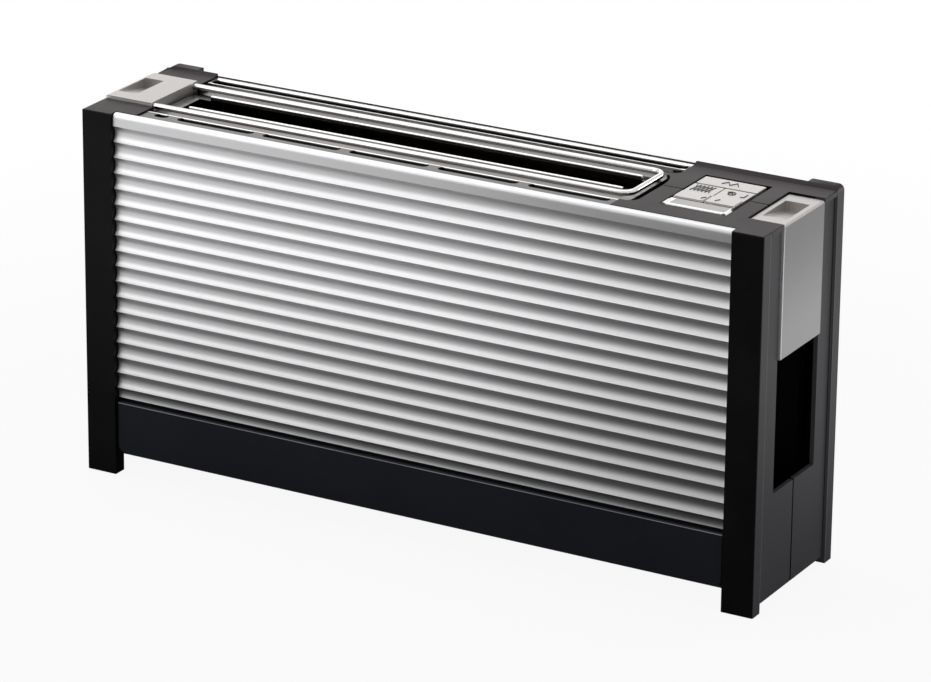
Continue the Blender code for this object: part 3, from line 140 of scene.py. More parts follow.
# Colours that several finishes share
BLACK = (0.0045, 0.0042, 0.0047)
DUSTY_BLACK = (0.014, 0.0135, 0.0135)
BRIGHT_PLATE = (0.80, 0.79, 0.78)

# Fluted panel, and the tongue behind its foot
PANEL_TOP_BAND = 7.15 * MM
FLUTE_PITCH = 9.06 * MM
FLUTE_DEPTH = 2.2 * MM
FLUTE_STEPS = 16
PANEL_EDGE_RADIUS = 2.8 * MM
EDGE_STEPS = 6
TONGUE_GAP = 0.2 * MM
TONGUE_THICKNESS = 1.2 * MM
TONGUE_OVERLAP = 1.5 * MM

# Warmer frame
FRAME_RADIUS = 1.7 * MM
FRAME_BEND_RADIUS = 7 * MM
FRAME_SIDES = 28
BEND_STEPS = 10

# Guide grids
GRID_WIRES = 12
GRID_WIRE_RADIUS = 0.9 * MM
GRID_SIDES = 16
GRID_MARGIN = 6.5 * MM
LONG_WIRE_RADIUS = 0.72 * MM
LONG_WIRE_SETBACK = 1.89 * MM
LONG_WIRE_INSET = 2.7 * MM
LONG_WIRE_SIDES = 12

# Keys
KEY_RISE = 4.5 * MM
KEY_EDGE = 0.4 * MM
KEY_INSET = 0.4 * MM
KEY_GROOVE = 0.8 * MM
LEDGED_KEYS = ("key_single", "key_reheat")
LEDGE_SHARE = 0.42
LEDGE_HEIGHT = 0.5 * MM
PLUNGER_HALF = 2.5 * MM
BAR_DEPTH = 2.4 * MM
KNOB_WIDTH = 3 * MM
KNOB_DEPTH = 7 * MM

# Marks on the keys, with their points in units of the mark's size
MARK_HEIGHT = 0.3 * MM
MARK_LINE = 0.5 * MM
ZIGZAG = ((-1, -0.2), (-0.5, 0.5), (0, -0.4), (0.5, 0.5), (1, -0.3))
ZIGZAG_SIZE = 5 * MM
LATTICE_LINES = 5
LATTICE_WIDTH = 11 * MM
LATTICE_DEPTH = 9 * MM
LATTICE_FROM_LEFT = 2.8 * MM
LATTICE_FROM_BACK = 11.5 * MM
SPIRAL_TURNS = 1.4
SPIRAL_STEPS = 14
SPIRAL_START_SHARE = 0.25
SPIRAL_SIZE = 3 * MM
SPIRAL_FROM_LEFT = 6.5 * MM
HOOK = ((-0.4, -1), (0.4, -1), (0.4, 1))
HOOK_SIZE = 2.5 * MM
HOOK_FROM_RIGHT = 3.5 * MM
REHEAT_MARKS_FROM_BACK = 7 * MM
STROKE_WIDTH = 1.4 * MM
STROKE_DEPTH = 2.5 * MM
STROKE_FROM_FRONT = 4 * MM
SINGLE_STROKE_FROM_RIGHT = 2.6 * MM
REHEAT_STROKE_FROM_LEFT = 5 * MM

# Places of a Mix node's share, colours and result among its sockets
MIX_SHARE, MIX_FIRST, MIX_SECOND = 0, 6, 7
MIX_RESULT = 2


# Shader arithmetic

class Field:
    """A shader value that can be used in arithmetic."""

    def __init__(self, nodes, socket):
        self.nodes = nodes
        self.socket = socket

    def math(self, operation, *others):
        """A Math node on this value and others."""
        return self.nodes.node("ShaderNodeMath", {"operation": operation}, [self, *others])

    def __add__(self, other):
        return self.math("ADD", other)

    def __radd__(self, other):
        return self.math("ADD", other)

    def __sub__(self, other):
        return self.math("SUBTRACT", other)

    def __rsub__(self, other):
        return self.nodes.node("ShaderNodeMath", {"operation": "SUBTRACT"}, [other, self])

    def __neg__(self):
        return self.math("MULTIPLY", -1)

    def __mul__(self, other):
        return self.math("MULTIPLY", other)

    def __rmul__(self, other):
        return self.math("MULTIPLY", other)

    def __or__(self, other):
        """The larger of two shares."""
        return self.math("MAXIMUM", other)

    def ramp(self, low, high):
        """Rise smoothly from 0 at the low value to 1 at the high value."""
        settings = {"interpolation_type": "SMOOTHSTEP"}
        inputs = {"Value": self, "From Min": low, "From Max": high}
        return self.nodes.node("ShaderNodeMapRange", settings, inputs)

    def past(self, place, width=FINE_EDGE):
        """0 up to a place, and 1 from a short way past it."""
        return self.ramp(place, place + width)

    def between(self, start, end, width=FINE_EDGE):
        """1 between two places, and 0 outside them."""
        return self.past(start, width) * (1 - self.past(end, width))


class Nodes:
    """A node tree under construction."""

    def __init__(self, tree):
        self.tree = tree

    def plug(self, node, key, value):
        """Set one input of a node to a number, a colour or another field."""
        socket = node.inputs[key]
        if isinstance(value, Field):
            self.tree.links.new(value.socket, socket)
        elif isinstance(value, tuple) and socket.type == "RGBA":
            socket.default_value = (*value[:3], 1)
        else:
            socket.default_value = value

    def node(self, kind, settings=None, inputs=None, output=0):
        """Add a node, settings first, and return one of its outputs."""
        made = self.tree.nodes.new(kind)
        for key, value in (settings or {}).items():
            setattr(made, key, value)
        pairs = enumerate(inputs) if isinstance(inputs, list) else (inputs or {}).items()
        for key, value in pairs:
            self.plug(made, key, value)
        return Field(self, made.outputs[output])

    def axis(self, vector, axis):
        """One of the three numbers of a vector."""
        return self.node("ShaderNodeSeparateXYZ", None, [vector], output=axis)

    def ray(self, kind):
        """1 for rays of a kind such as Is Camera Ray, else 0."""
        return self.node("ShaderNodeLightPath", output=kind)


class Finish(Nodes):
    """A material under construction, with its Principled shader."""

    def __init__(self, name, **constants):
        self.material = bpy.data.materials.new(name)
        self.material.use_nodes = True
        super().__init__(self.material.node_tree)
        self.shader = self.tree.nodes["Principled BSDF"]
        self.set(**constants)

    def set(self, **values):
        """Set inputs of the shader; an underscore in a name stands for a space."""
        for key, value in values.items():
            name = {"Specular": "Specular IOR Level"}.get(key, key.replace("_", " "))
            self.plug(self.shader, name, value)

    def place(self, stretch=(1, 1, 1)):
        """Object coordinates in metres, stretched along the axes."""
        spot = self.node("ShaderNodeTexCoord", output="Object")
        if stretch == (1, 1, 1):
            return spot
        return self.node("ShaderNodeVectorMath", {"operation": "MULTIPLY"}, [spot, stretch])

    def along(self, axis):
        """One object coordinate in metres."""
        return self.axis(self.place(), axis)

    def away(self, axis):
        """Distance in metres from the toaster's middle along one axis, to either side."""
        return self.along(axis).math("ABSOLUTE")

    def noise(self, size, detail, stretch=(1, 1, 1)):
        """Noise between 0 and 1 whose blotches are about the given size in metres."""
        inputs = {"Vector": self.place(stretch), "Scale": 1 / size, "Detail": detail}
        return self.node("ShaderNodeTexNoise", None, inputs)

    def cells(self, size):
        """Distance to the nearest of scattered points, for grain."""
        return self.node("ShaderNodeTexVoronoi", None, {"Vector": self.place(), "Scale": 1 / size})

    def blend(self, share, first, second):
        """Mix two colours."""
        inputs = {MIX_SHARE: share, MIX_FIRST: first, MIX_SECOND: second}
        return self.node("ShaderNodeMix", {"data_type": "RGBA"}, inputs, output=MIX_RESULT)

    def height(self, height, distance):
        """Bump the surface by a height field."""
        inputs = {"Height": height, "Distance": distance, "Strength": 1.0}
        self.set(Normal=self.node("ShaderNodeBump", None, inputs))


# Parts of finishes

def film(finish):
    """Clouds of a faint film, as a share."""
    return finish.noise(FILM_SIZE, 4).ramp(0.35, 0.75)


def dust(finish, share):
    """The film and small specks, up to a share each."""
    specks = finish.noise(SPECK_SIZE, 1).ramp(0.68, 0.8)
    return film(finish) * share + specks * share


def flake(finish):
    """Metal flake in lacquer, as a share."""
    return finish.cells(FLAKE_SIZE).ramp(0.1, 0.6)


def brushing(finish, streak):
    """Fine streaks along the length, and their mix with broader ones."""
    fine = finish.noise(streak, 3, LENGTHWISE)
    broad = finish.noise(12 * streak, 2, LENGTHWISE)
    return fine, fine * 0.6 + broad * 0.4


def waviness(finish):
    """Slight long waves of polished sheet, as relief."""
    finish.height(finish.noise(18 * MM, 1, (0.2, 1, 1)), 0.03 * MM)


# Finishes of the material slots

def moulded_plastic(name, colour, dusty, roughness, grain, grain_depth, specular):
    """Moulded plastic with a fine spark-eroded grain."""
    finish = Finish(name, Specular=specular)
    finish.set(Base_Color=finish.blend(dust(finish, DUST_SHARE), colour, dusty))
    relief = finish.noise(grain, 2)
    finish.set(Roughness=roughness - 0.04 + 0.1 * finish.noise(GLOSS_CLOUD, 3) + 0.05 * relief)
    finish.height(relief, grain_depth)
    return finish.material


def brushed_metal(name, colour, shade, roughness, streak, depth):
    """Metal brushed along its length: long fine streaks in colour, gloss and height."""
    finish = Finish(name, Metallic=1.0)
    fine, streaks = brushing(finish, streak)
    finish.set(Base_Color=finish.blend(streaks, shade, colour))
    finish.set(Roughness=roughness - 0.05 + 0.1 * fine + 0.05 * finish.noise(60 * MM, 2))
    finish.height(fine, depth)
    return finish.material


def bright_steel():
    """Bright steel with soft smears in its gloss."""
    finish = Finish("bright_steel", Metallic=1.0)
    clouds = finish.noise(30 * MM, 4)
    finish.set(Base_Color=finish.blend(clouds.ramp(0.3, 0.8), (0.74, 0.73, 0.72), (0.62, 0.61, 0.60)))
    finish.set(Roughness=0.10 + 0.06 * clouds.ramp(0.4, 0.9))
    waviness(finish)
    return finish.material


def lacquer(name):
    """Satin metallic lacquer with fine relief, still without its colour."""
    finish = Finish(name, Metallic=0.75, Specular=0.5)
    finish.set(Roughness=0.36 + 0.1 * finish.noise(0.5 * MM, 2) + 0.05 * finish.noise(15 * MM, 2))
    finish.height(finish.noise(0.3 * MM, 2), 0.01 * MM)
    return finish


def satin_silver():
    """Silver lacquer of the keys."""
    finish = lacquer("satin_silver")
    finish.set(Base_Color=finish.blend(flake(finish), (0.64, 0.615, 0.60), (0.55, 0.53, 0.515)))
    return finish.material


def drawn_steel(name, colour, shade, roughness):
    """Drawn wire and rod."""
    finish = Finish(name, Metallic=1.0)
    lines = finish.noise(0.4 * MM, 2, (1, 1, 0.04))
    finish.set(Base_Color=finish.blend(finish.noise(9 * MM, 3), colour, shade))
    finish.set(Roughness=roughness + 0.12 * lines)
    finish.height(lines, 0.006 * MM)
    return finish.material


def heated_metal():
    """Resistance ribbon, tinted by heat."""
    finish = Finish("heating_ribbon", Metallic=1.0)
    tint = finish.noise(6 * MM, 3).ramp(0.35, 0.7)
    finish.set(Base_Color=finish.blend(tint, (0.34, 0.31, 0.29), (0.30, 0.20, 0.13)))
    finish.set(Roughness=0.38 + 0.15 * finish.noise(1 * MM, 2))
    finish.height(finish.noise(0.6 * MM, 2), 0.02 * MM)
    return finish.material


def mica_board():
    """Mica: flaky, brownish grey, with glints."""
    finish = Finish("mica", Specular=0.6)
    flakes = finish.cells(5 * MM)
    clouds = finish.noise(14 * MM, 4)
    finish.set(Base_Color=finish.blend(clouds * 0.6 + flakes * 0.4, (0.20, 0.16, 0.12), (0.10, 0.075, 0.05)))
    finish.set(Roughness=0.3 + 0.4 * flakes)
    finish.height(clouds, 0.05 * MM)
    return finish.material


def circuit_board():
    """Lacquered board with faint tracks under the lacquer."""
    finish = Finish("board_green", Coat_Weight=0.3)
    inputs = {"Vector": finish.place(), "Scale": 1 / (12 * MM), "Color1": (1, 1, 1),
              "Color2": (0.9, 0.9, 0.9), "Mortar": (0, 0, 0), "Mortar Size": 0.06}
    tracks = finish.node("ShaderNodeTexBrick", None, inputs)
    finish.set(Base_Color=finish.blend(tracks, (0.035, 0.10, 0.05), (0.015, 0.05, 0.025)))
    finish.set(Roughness=0.45 + 0.1 * finish.noise(3 * MM, 2))
    finish.height(tracks, 0.03 * MM)
    return finish.material


def wound_copper():
    """Enamelled winding: fine turns one above the other."""
    finish = Finish("copper", Metallic=1.0)
    inputs = {"Vector": finish.place(), "Scale": 1 / (2 * MM), "Distortion": 0.3}
    turns = finish.node("ShaderNodeTexWave", {"bands_direction": "Z"}, inputs, output="Fac")
    finish.set(Base_Color=finish.blend(turns, (0.30, 0.11, 0.05), (0.68, 0.30, 0.16)))
    finish.set(Roughness=0.3 + 0.1 * finish.noise(2 * MM, 2))
    finish.height(turns, 0.1 * MM)
    return finish.material


def soft_rubber():
    """Matt rubber with a dusty bloom."""
    finish = Finish("rubber", Specular=0.35)
    finish.set(Base_Color=finish.blend(dust(finish, 0.5), (0.018, 0.018, 0.018), (0.06, 0.058, 0.055)))
    finish.set(Roughness=0.75 + 0.15 * finish.noise(4 * MM, 3))
    finish.height(finish.noise(0.6 * MM, 3), 0.03 * MM)
    return finish.material


# Finishes of single parts

def surround_steel():
    """Polished steel whose plate is painted dark as shade, while the slot's standing rims stay bright."""
    finish = Finish("surround_steel", Metallic=1.0)
    plate_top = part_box("slot_surround")[1].z - RIM_HEIGHT
    streaks = finish.noise(3 * MM, 3, LENGTHWISE)
    # Painted shade: the plate is coloured far darker than its rims
    plate = finish.blend(streaks.ramp(0.35, 0.7), (0.045, 0.04, 0.038), (0.15, 0.14, 0.135))
    rim = finish.along("Z").past(plate_top + RIM_FADE, RIM_FADE)
    finish.set(Base_Color=finish.blend(rim, plate, BRIGHT_PLATE))
    finish.set(Roughness=0.16 + 0.08 * streaks)
    waviness(finish)
    return finish.material


def strip_steel():
    """Plated strip: streaky and painted dark as shade, bright on its narrow inner border and on its rear
    band.
    """
    finish = Finish("strip_steel", Metallic=1.0)
    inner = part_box("rear_vent_strip")[0].y
    streaks = finish.noise(SHEET_STREAK, 3, LENGTHWISE)
    # Painted shade: the strip's land is coloured far darker than its plating
    painted_dark_sheet = finish.blend(streaks, (0.03, 0.028, 0.027), (0.10, 0.096, 0.093))
    border = 1 - finish.away("Y").past(inner + STRIP_BORDER)
    rear_band = finish.along("Y").past(inner + STRIP_BORDER + REAR_VENT_WIDTH - FINE_EDGE)
    finish.set(Base_Color=finish.blend(border | rear_band, painted_dark_sheet, BRIGHT_PLATE))
    finish.set(Roughness=0.24 + 0.1 * streaks)
    finish.height(streaks, 0.01 * MM)
    return finish.material


def lever_silver(node):
    """Lacquer of a lever with painted light: its top painted lighter and warmer as lit, its face cooler with
    painted shade that lightens downwards, and painted highlights on its edges.
    """
    finish = lacquer("silver_" + node)
    low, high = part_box(node)
    height = finish.along("Z")
    flakes = flake(finish)
    # Painted shade: the face is painted darker at the top and lighter towards the foot
    upper = finish.blend(flakes, (0.24, 0.24, 0.245), (0.20, 0.20, 0.205))
    lower = finish.blend(flakes, (0.43, 0.43, 0.435), (0.37, 0.37, 0.375))
    face = finish.blend(height.ramp(low.z, high.z), lower, upper)
    # Painted light: the top and sides are painted lighter and warmer, as lit
    painted_lit_top = finish.blend(flakes, (0.56, 0.535, 0.52), (0.47, 0.45, 0.44))
    outer = max(abs(low.x), abs(high.x))
    on_face = finish.away("X").past(outer - LEVER_EDGE)
    below_top = 1 - height.ramp(high.z - LEVER_EDGE, high.z - FINE_EDGE)
    colour = finish.blend(on_face * below_top, painted_lit_top, face)
    # Painted highlights along the side and foot edges
    side_edge = finish.away("Y").past(high.y - 2 * FINE_EDGE)
    foot_edge = 1 - height.past(low.z + FINE_EDGE)
    painted_highlight = (side_edge | foot_edge) * below_top
    finish.set(Base_Color=finish.blend(painted_highlight, colour, (0.9, 0.9, 0.9)))
    return finish.material


def stop_key_silver():
    """Lacquer of the front key: a darker strip between knobs and bar with painted highlights, and painted
    shade in its groove.
    """
    finish = lacquer("silver_key_stop")
    low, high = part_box("key_stop")
    across, back = finish.along("X"), finish.along("Y")
    strip = finish.blend(flake(finish), (0.46, 0.445, 0.435), (0.38, 0.37, 0.36))
    bar_back = low.y + BAR_DEPTH
    behind_bar = back.past(bar_back - FINE_EDGE)
    # Painted shade in the groove behind the bar
    groove = behind_bar * (1 - back.past(bar_back + KEY_GROOVE, KEY_GROOVE))
    # Painted highlights on the knobs and the bar
    left_knob = 1 - across.past(low.x + KNOB_WIDTH)
    right_knob = across.past(high.x - KNOB_WIDTH - FINE_EDGE)
    painted_highlight = left_knob | right_knob | (1 - behind_bar)
    lined = finish.blend(groove, strip, (0.03, 0.03, 0.03))
    finish.set(Base_Color=finish.blend(painted_highlight, lined, (0.88, 0.87, 0.86)))
    return finish.material


def end_plastic():
    """Black housing plastic with painted light: the deck painted lighter and warmer as lit from above, the
    end walls painted lighter as lit, a painted highlight and a painted shadow line beside each column, and
    painted shade along the seam.
    """
    finish = Finish("end_plastic", Specular=0.1)
    low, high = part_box("end_right_front")
    dusting = dust(finish, DUST_SHARE)
    outward, aside, height = finish.away("X"), finish.away("Y"), finish.along("Z")
    front = finish.blend(dusting, BLACK, DUSTY_BLACK)
    # Painted light: the deck and the end walls, the same black plastic as the front, are painted lighter as
    # lit
    deck = finish.blend(dusting, (0.018, 0.008, 0.010), (0.027, 0.016, 0.018))
    end = finish.blend(dusting, (0.085, 0.085, 0.091), (0.095, 0.095, 0.101))
    on_front = aside.past(-low.y - 2 * FINE_EDGE)
    on_top = height.past(high.z - 2 * FINE_EDGE)
    on_end = outward.past(END_FACE_START) * (1 - on_front) * (1 - on_top)
    on_column = outward.past(high.x - 2 * FINE_EDGE) * (1 - on_top)
    # Painted highlight on each column's inner edge, and painted shadow in the groove just inside it
    rim = -low.y - COLUMN_DEPTH
    painted_column_highlight = aside.between(rim, rim + 2 * FINE_EDGE) * on_column
    groove = aside.between(rim - 4 * FINE_EDGE, rim - FINE_EDGE) * on_end
    # Painted shade along the seam between the front and rear housings
    seam = 1 - aside.past(SEAM_WIDTH / 2)
    colour = finish.blend(on_top * (1 - on_front), front, deck)
    colour = finish.blend(on_end, colour, end)
    colour = finish.blend(painted_column_highlight, colour, (0.19, 0.19, 0.20))
    finish.set(Base_Color=finish.blend(seam | groove, colour, (0.002, 0.002, 0.002)))
    grain = finish.noise(MOULDED_GRAIN, 2)
    finish.set(Roughness=0.32 + 0.1 * finish.noise(GLOSS_CLOUD, 3) + 0.05 * grain)
    finish.height(grain, MOULDED_GRAIN_DEPTH)
    return finish.material


def panel_aluminium():
    """Fluted panel: brushed lengthwise, with painted shade darkening it towards its foot and right end, and
    its inner side painted black as shade.
    """
    finish = Finish("panel_aluminium")
    low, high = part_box("front_panel")
    fine, streaks = brushing(finish, PANEL_STREAK)
    bare = finish.blend(streaks, (0.73, 0.73, 0.74), (0.84, 0.84, 0.85))
    # Painted shade: darker towards the foot and the right end
    foot = 1 - finish.along("Z").ramp(low.z, low.z + PANEL_FOOT_SHARE * (high.z - low.z))
    right = finish.along("X").ramp(0, high.x)
    bare = finish.blend(FOOT_SHADE_SHARE * foot + RIGHT_SHADE_SHARE * right, bare, (0.06, 0.06, 0.062))
    # Painted shade: the inner side is painted black and not metallic
    outside = finish.away("Y").past(-high.y)
    finish.set(Base_Color=finish.blend(outside, (0.01, 0.01, 0.01), bare), Metallic=outside)
    finish.set(Roughness=0.37 + 0.1 * fine + 0.05 * finish.noise(60 * MM, 2))
    finish.height(fine, 0.008 * MM)
    return finish.material


def plinth_plastic():
    """Smooth black plastic with a painted highlight along its upper front edge."""
    finish = Finish("plinth_edge", Specular=0.12)
    low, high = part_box("front_plinth")
    edge = high.z - PLINTH_CHAMFER
    clouds = film(finish)
    body = finish.blend(clouds * DUST_SHARE, (0.016, 0.018, 0.024), (0.022, 0.025, 0.032))
    # Painted highlight: a thin light line along the chamfer's lower edge
    line = finish.along("Z").between(edge - HIGHLIGHT_LINE_WIDTH, edge, HIGHLIGHT_LINE_WIDTH / 2)
    outside = finish.away("Y").past(-low.y - PLINTH_CHAMFER, PLINTH_CHAMFER / 2)
    painted_plinth_highlight = line * outside * (0.7 + 0.3 * clouds)
    finish.set(Base_Color=finish.blend(painted_plinth_highlight, body, (0.4, 0.4, 0.42)))
    finish.set(Roughness=0.28 + 0.1 * finish.noise(GLOSS_CLOUD, 3))
    finish.height(finish.noise(0.8 * MM, 2), 0.006 * MM)
    return finish.material


FINISHES = {
    "black_plastic": moulded_plastic("black_plastic", BLACK, DUSTY_BLACK, roughness=0.36,
                                     grain=MOULDED_GRAIN, grain_depth=MOULDED_GRAIN_DEPTH, specular=0.12),
    "plinth_black": moulded_plastic("plinth_black", (0.0035, 0.004, 0.006), (0.008, 0.009, 0.012),
                                    roughness=0.3, grain=0.8 * MM, grain_depth=0.006 * MM, specular=0.12),
    "brushed_aluminium": brushed_metal("brushed_aluminium", (0.84, 0.84, 0.85), (0.74, 0.74, 0.75),
                                       roughness=0.42, streak=PANEL_STREAK, depth=0.008 * MM),
    "satin_silver": satin_silver(),
    "bright_steel": bright_steel(),
    # Painted shade: the plated sheet of the inner parts is coloured far darker than bare plating, as shade
    # inside the body
    "plated_sheet": brushed_metal("plated_sheet", (0.14, 0.135, 0.13), (0.09, 0.087, 0.085),
                                  roughness=0.38, streak=SHEET_STREAK, depth=0.01 * MM),
    "steel_rod": drawn_steel("steel_rod", (0.62, 0.61, 0.60), (0.48, 0.47, 0.45), roughness=0.2),
    "spring_steel": drawn_steel("spring_steel", (0.30, 0.30, 0.31), (0.20, 0.20, 0.21), roughness=0.3),
    "mica": mica_board(),
    "heating_ribbon": heated_metal(),
    "grey_nylon": moulded_plastic("grey_nylon", (0.10, 0.10, 0.105), (0.16, 0.16, 0.165),
                                  roughness=0.5, grain=0.6 * MM, grain_depth=0.02 * MM, specular=0.4),
    "board_green": circuit_board(),
    "copper": wound_copper(),
    "rubber": soft_rubber(),
}
HOUSING = end_plastic()
PANEL = panel_aluminium()
PLINTH = plinth_plastic()
STRIP = strip_steel()
OWN_FINISHES = {
    "end_right_front": HOUSING,
    "end_right_rear": HOUSING,
    "end_left_front": HOUSING,
    "end_left_rear": HOUSING,
    "front_panel": PANEL,
    "rear_panel": PANEL,
    "front_plinth": PLINTH,
    "rear_plinth": PLINTH,
    "front_vent_strip": STRIP,
    "rear_vent_strip": STRIP,
    "slot_surround": surround_steel(),
    "carriage_lever": lever_silver("carriage_lever"),
    "warmer_lever": lever_silver("warmer_lever"),
    "key_stop": stop_key_silver(),
}


# Mesh helpers

def dress_nodes():
    """Give every part of the frame its finish."""
    for entry in frame["record"]["subparts"]:
        node = frame["nodes"][entry["node"]]
        node.data.materials.clear()
        node.data.materials.append(FINISHES[entry["material_slot"]])


def finished(name, bm, slot, body, replaces=(), angle=SHARP_ANGLE, finish=None):
    """Make a piece from a mesh, smooth but for its sharp edges, riding on its body if one is given."""
    bmesh.ops.remove_doubles(bm, verts=bm.verts, dist=WELD)
    bmesh.ops.recalc_face_normals(bm, faces=bm.faces)
    mesh = bpy.data.meshes.new(name)
    bm.to_mesh(mesh)
    bm.free()
    mesh.materials.append(finish or FINISHES[slot])
    mesh.shade_smooth()
    mesh.set_sharp_from_angle(angle=angle)
    piece = bpy.data.objects.new(name, mesh)
    bpy.context.scene.collection.objects.link(piece)
    even = piece.modifiers.new("even_normals", "WEIGHTED_NORMAL")
    even.keep_sharp = True
    if body:
        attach(piece, body)
    if replaces:
        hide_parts(*replaces)
    return piece


def body_of(node):
    """The body that a part rides on."""
    for body, members in frame["record"]["behaviour"]["bodies"].items():
        if node in members:
            return body
    raise KeyError(node)


def slot_of(node):
    """The material slot of a part."""
    return next(part["material_slot"] for part in frame["record"]["subparts"] if part["node"] == node)


def bevel(bm, edges, width, segments=2):
    """Round the given edges."""
    bmesh.ops.bevel(bm, geom=list(edges), offset=width, offset_type="OFFSET", segments=segments, profile=0.5,
                    affect="EDGES", material=-1, clamp_overlap=True)


def on_seam(edge):
    """Say whether an edge lies where the end housings meet."""
    return all(abs(v.co.y) < SEAM_REACH for v in edge.verts)


def refined(node, width, extra_bar=None):
    """Replace a part by a copy of it whose sharp edges are rounded, but for those at the seam."""
    bm = bmesh.new()
    bm.from_mesh(frame["nodes"][node].data)
    bmesh.ops.remove_doubles(bm, verts=bm.verts, dist=WELD)
    bmesh.ops.dissolve_limit(bm, angle_limit=FLAT_ANGLE, verts=bm.verts, edges=bm.edges)
    sharp = [e for e in bm.edges
             if len(e.link_faces) == 2 and e.calc_face_angle() > SHARP_ANGLE and not on_seam(e)]
    bevel(bm, sharp, width)
    if extra_bar:
        bar(bm, *extra_bar)
    finished("fine_" + node, bm, slot_of(node), body_of(node), (node,), finish=OWN_FINISHES.get(node))


def sketch(bm, points):
    """A face from a closed outline."""
    return bm.faces.new([bm.verts.new(p) for p in points])


def sweep_face(bm, face, along):
    """Extrude a face into a closed solid."""
    grown = bmesh.ops.extrude_face_region(bm, geom=[face], use_keep_orig=True)["geom"]
    moved = [g for g in grown if isinstance(g, bmesh.types.BMVert)]
    bmesh.ops.translate(bm, verts=moved, vec=along)


def drawn_out(bm, face, along):
    """Extrude a face straight, leaving no face inside, and return the new end."""
    made = bmesh.ops.extrude_face_region(bm, geom=[face])["geom"]
    end = next(g for g in made if isinstance(g, bmesh.types.BMFace))
    bmesh.ops.translate(bm, verts=list(end.verts), vec=along)
    return end


def turned(bm, face, centre):
    """Spin a face through a quarter turn about the upright axis at the centre, and return the new end."""
    made = bmesh.ops.spin(bm, geom=[face], cent=centre, axis=(0, 0, 1), angle=math.pi / 2, steps=BEND_STEPS,
                          use_duplicate=False)["geom_last"]
    return next(g for g in made if isinstance(g, bmesh.types.BMFace))


def bar(bm, low, high, edge=0.0):
    """A box between two corners, its edges rounded where asked."""
    low, high = Vector(low), Vector(high)
    placed = Matrix.Translation((low + high) / 2) @ Matrix.Diagonal((*(high - low), 1))
    made = bmesh.ops.create_cube(bm, size=1, matrix=placed)["verts"]
    if edge:
        corners = set(made)
        bevel(bm, [e for e in bm.edges if corners.issuperset(e.verts)], edge)


def rod(bm, start, end, radius, sides=ROD_SIDES):
    """A round rod between two points."""
    start, end = Vector(start), Vector(end)
    turn = (end - start).to_track_quat("Z", "Y").to_matrix().to_4x4()
    bmesh.ops.create_cone(bm, cap_ends=True, segments=sides, radius1=radius, radius2=radius,
                          depth=(end - start).length, matrix=Matrix.Translation((start + end) / 2) @ turn)


# Pieces

def flute(face, lip, floor):
    """Points down one concave flute, as distance from the middle plane and height, cut off at a height."""
    half = FLUTE_PITCH / 2
    radius = (half * half + FLUTE_DEPTH * FLUTE_DEPTH) / (2 * FLUTE_DEPTH)
    centre = face - FLUTE_DEPTH + radius
    first = math.asin(half / radius)
    last = math.asin((floor - lip + half) / radius)
    points = []
    for k in range(FLUTE_STEPS + 1):
        angle = first + (last - first) * k / FLUTE_STEPS
        points.append((centre - radius * math.cos(angle), lip - half + radius * math.sin(angle)))
    return points


def fluted_panel(name, half):
    """Panel with fine concave flutes and a rounded top edge."""
    node = f"{name}_panel"
    low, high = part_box(node)
    back, face = sorted((abs(low.y), abs(high.y)))
    profile = [(back, low.z), (back, high.z)]
    for k in range(EDGE_STEPS + 1):
        angle = math.pi / 2 * (1 - k / EDGE_STEPS)
        profile.append((face - PANEL_EDGE_RADIUS * (1 - math.cos(angle)),
                        high.z - PANEL_EDGE_RADIUS * (1 - math.sin(angle))))
    lip = high.z - PANEL_TOP_BAND
    while lip - FLUTE_PITCH > low.z:
        profile += flute(face, lip, lip - FLUTE_PITCH)[:-1]
        lip -= FLUTE_PITCH
    profile += flute(face, lip, low.z)
    bm = bmesh.new()
    flat = sketch(bm, [(low.x, half * y, z) for y, z in profile])
    sweep_face(bm, flat, (high.x - low.x, 0, 0))
    rims = [e for e in bm.edges if abs(e.verts[0].co.x - e.verts[1].co.x) < WELD]
    bevel(bm, rims, FINE_EDGE, 1)
    finished(f"fine_{node}", bm, "brushed_aluminium", "body", (node,), FLUTE_SHARP_ANGLE, OWN_FINISHES[node])


def plinth_with_tongue(name, half):
    """Plinth with the tongue that closes the joint behind the foot of the panel."""
    node = f"{name}_plinth"
    low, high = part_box(node)
    panel_low, panel_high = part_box(f"{name}_panel")
    front = min(abs(panel_low.y), abs(panel_high.y)) - TONGUE_GAP
    near, far = sorted((half * front, half * (front - TONGUE_THICKNESS)))
    tongue = ((low.x, near, high.z - TONGUE_OVERLAP), (high.x, far, panel_low.z + TONGUE_OVERLAP))
    refined(node, PLINTH_ROUNDING, tongue)


def wire_frame():
    """The warmer's round wire: two long runs and the bend between them."""
    low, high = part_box("warmer_frame")
    z = (low.z + high.z) / 2
    half = high.y - FRAME_RADIUS
    bend_x = high.x - FRAME_RADIUS - FRAME_BEND_RADIUS
    bend_y = half - FRAME_BEND_RADIUS
    bm = bmesh.new()
    facing = Matrix.Rotation(math.pi / 2, 4, "Y")
    ring = bmesh.ops.create_circle(bm, cap_ends=True, segments=FRAME_SIDES, radius=FRAME_RADIUS,
                                   matrix=Matrix.Translation((low.x, -half, z)) @ facing)["verts"]
    end = drawn_out(bm, list(ring[0].link_faces)[0], (bend_x - low.x, 0, 0))
    end = turned(bm, end, (bend_x, -bend_y, z))
    end = drawn_out(bm, end, (0, 2 * bend_y, 0))
    end = turned(bm, end, (bend_x, bend_y, z))
    drawn_out(bm, end, (low.x - bend_x, 0, 0))
    finished("fine_warmer_frame", bm, "bright_steel", "warmer", ("warmer_frame",))


def stretching_spring():
    """Return spring that hangs from its fixed top, kept where it is and on no body."""
    bm = bmesh.new()
    bm.from_mesh(frame["nodes"]["return_spring"].data)
    piece = finished("fine_return_spring", bm, "spring_steel", None, ("return_spring",))
    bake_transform(piece)


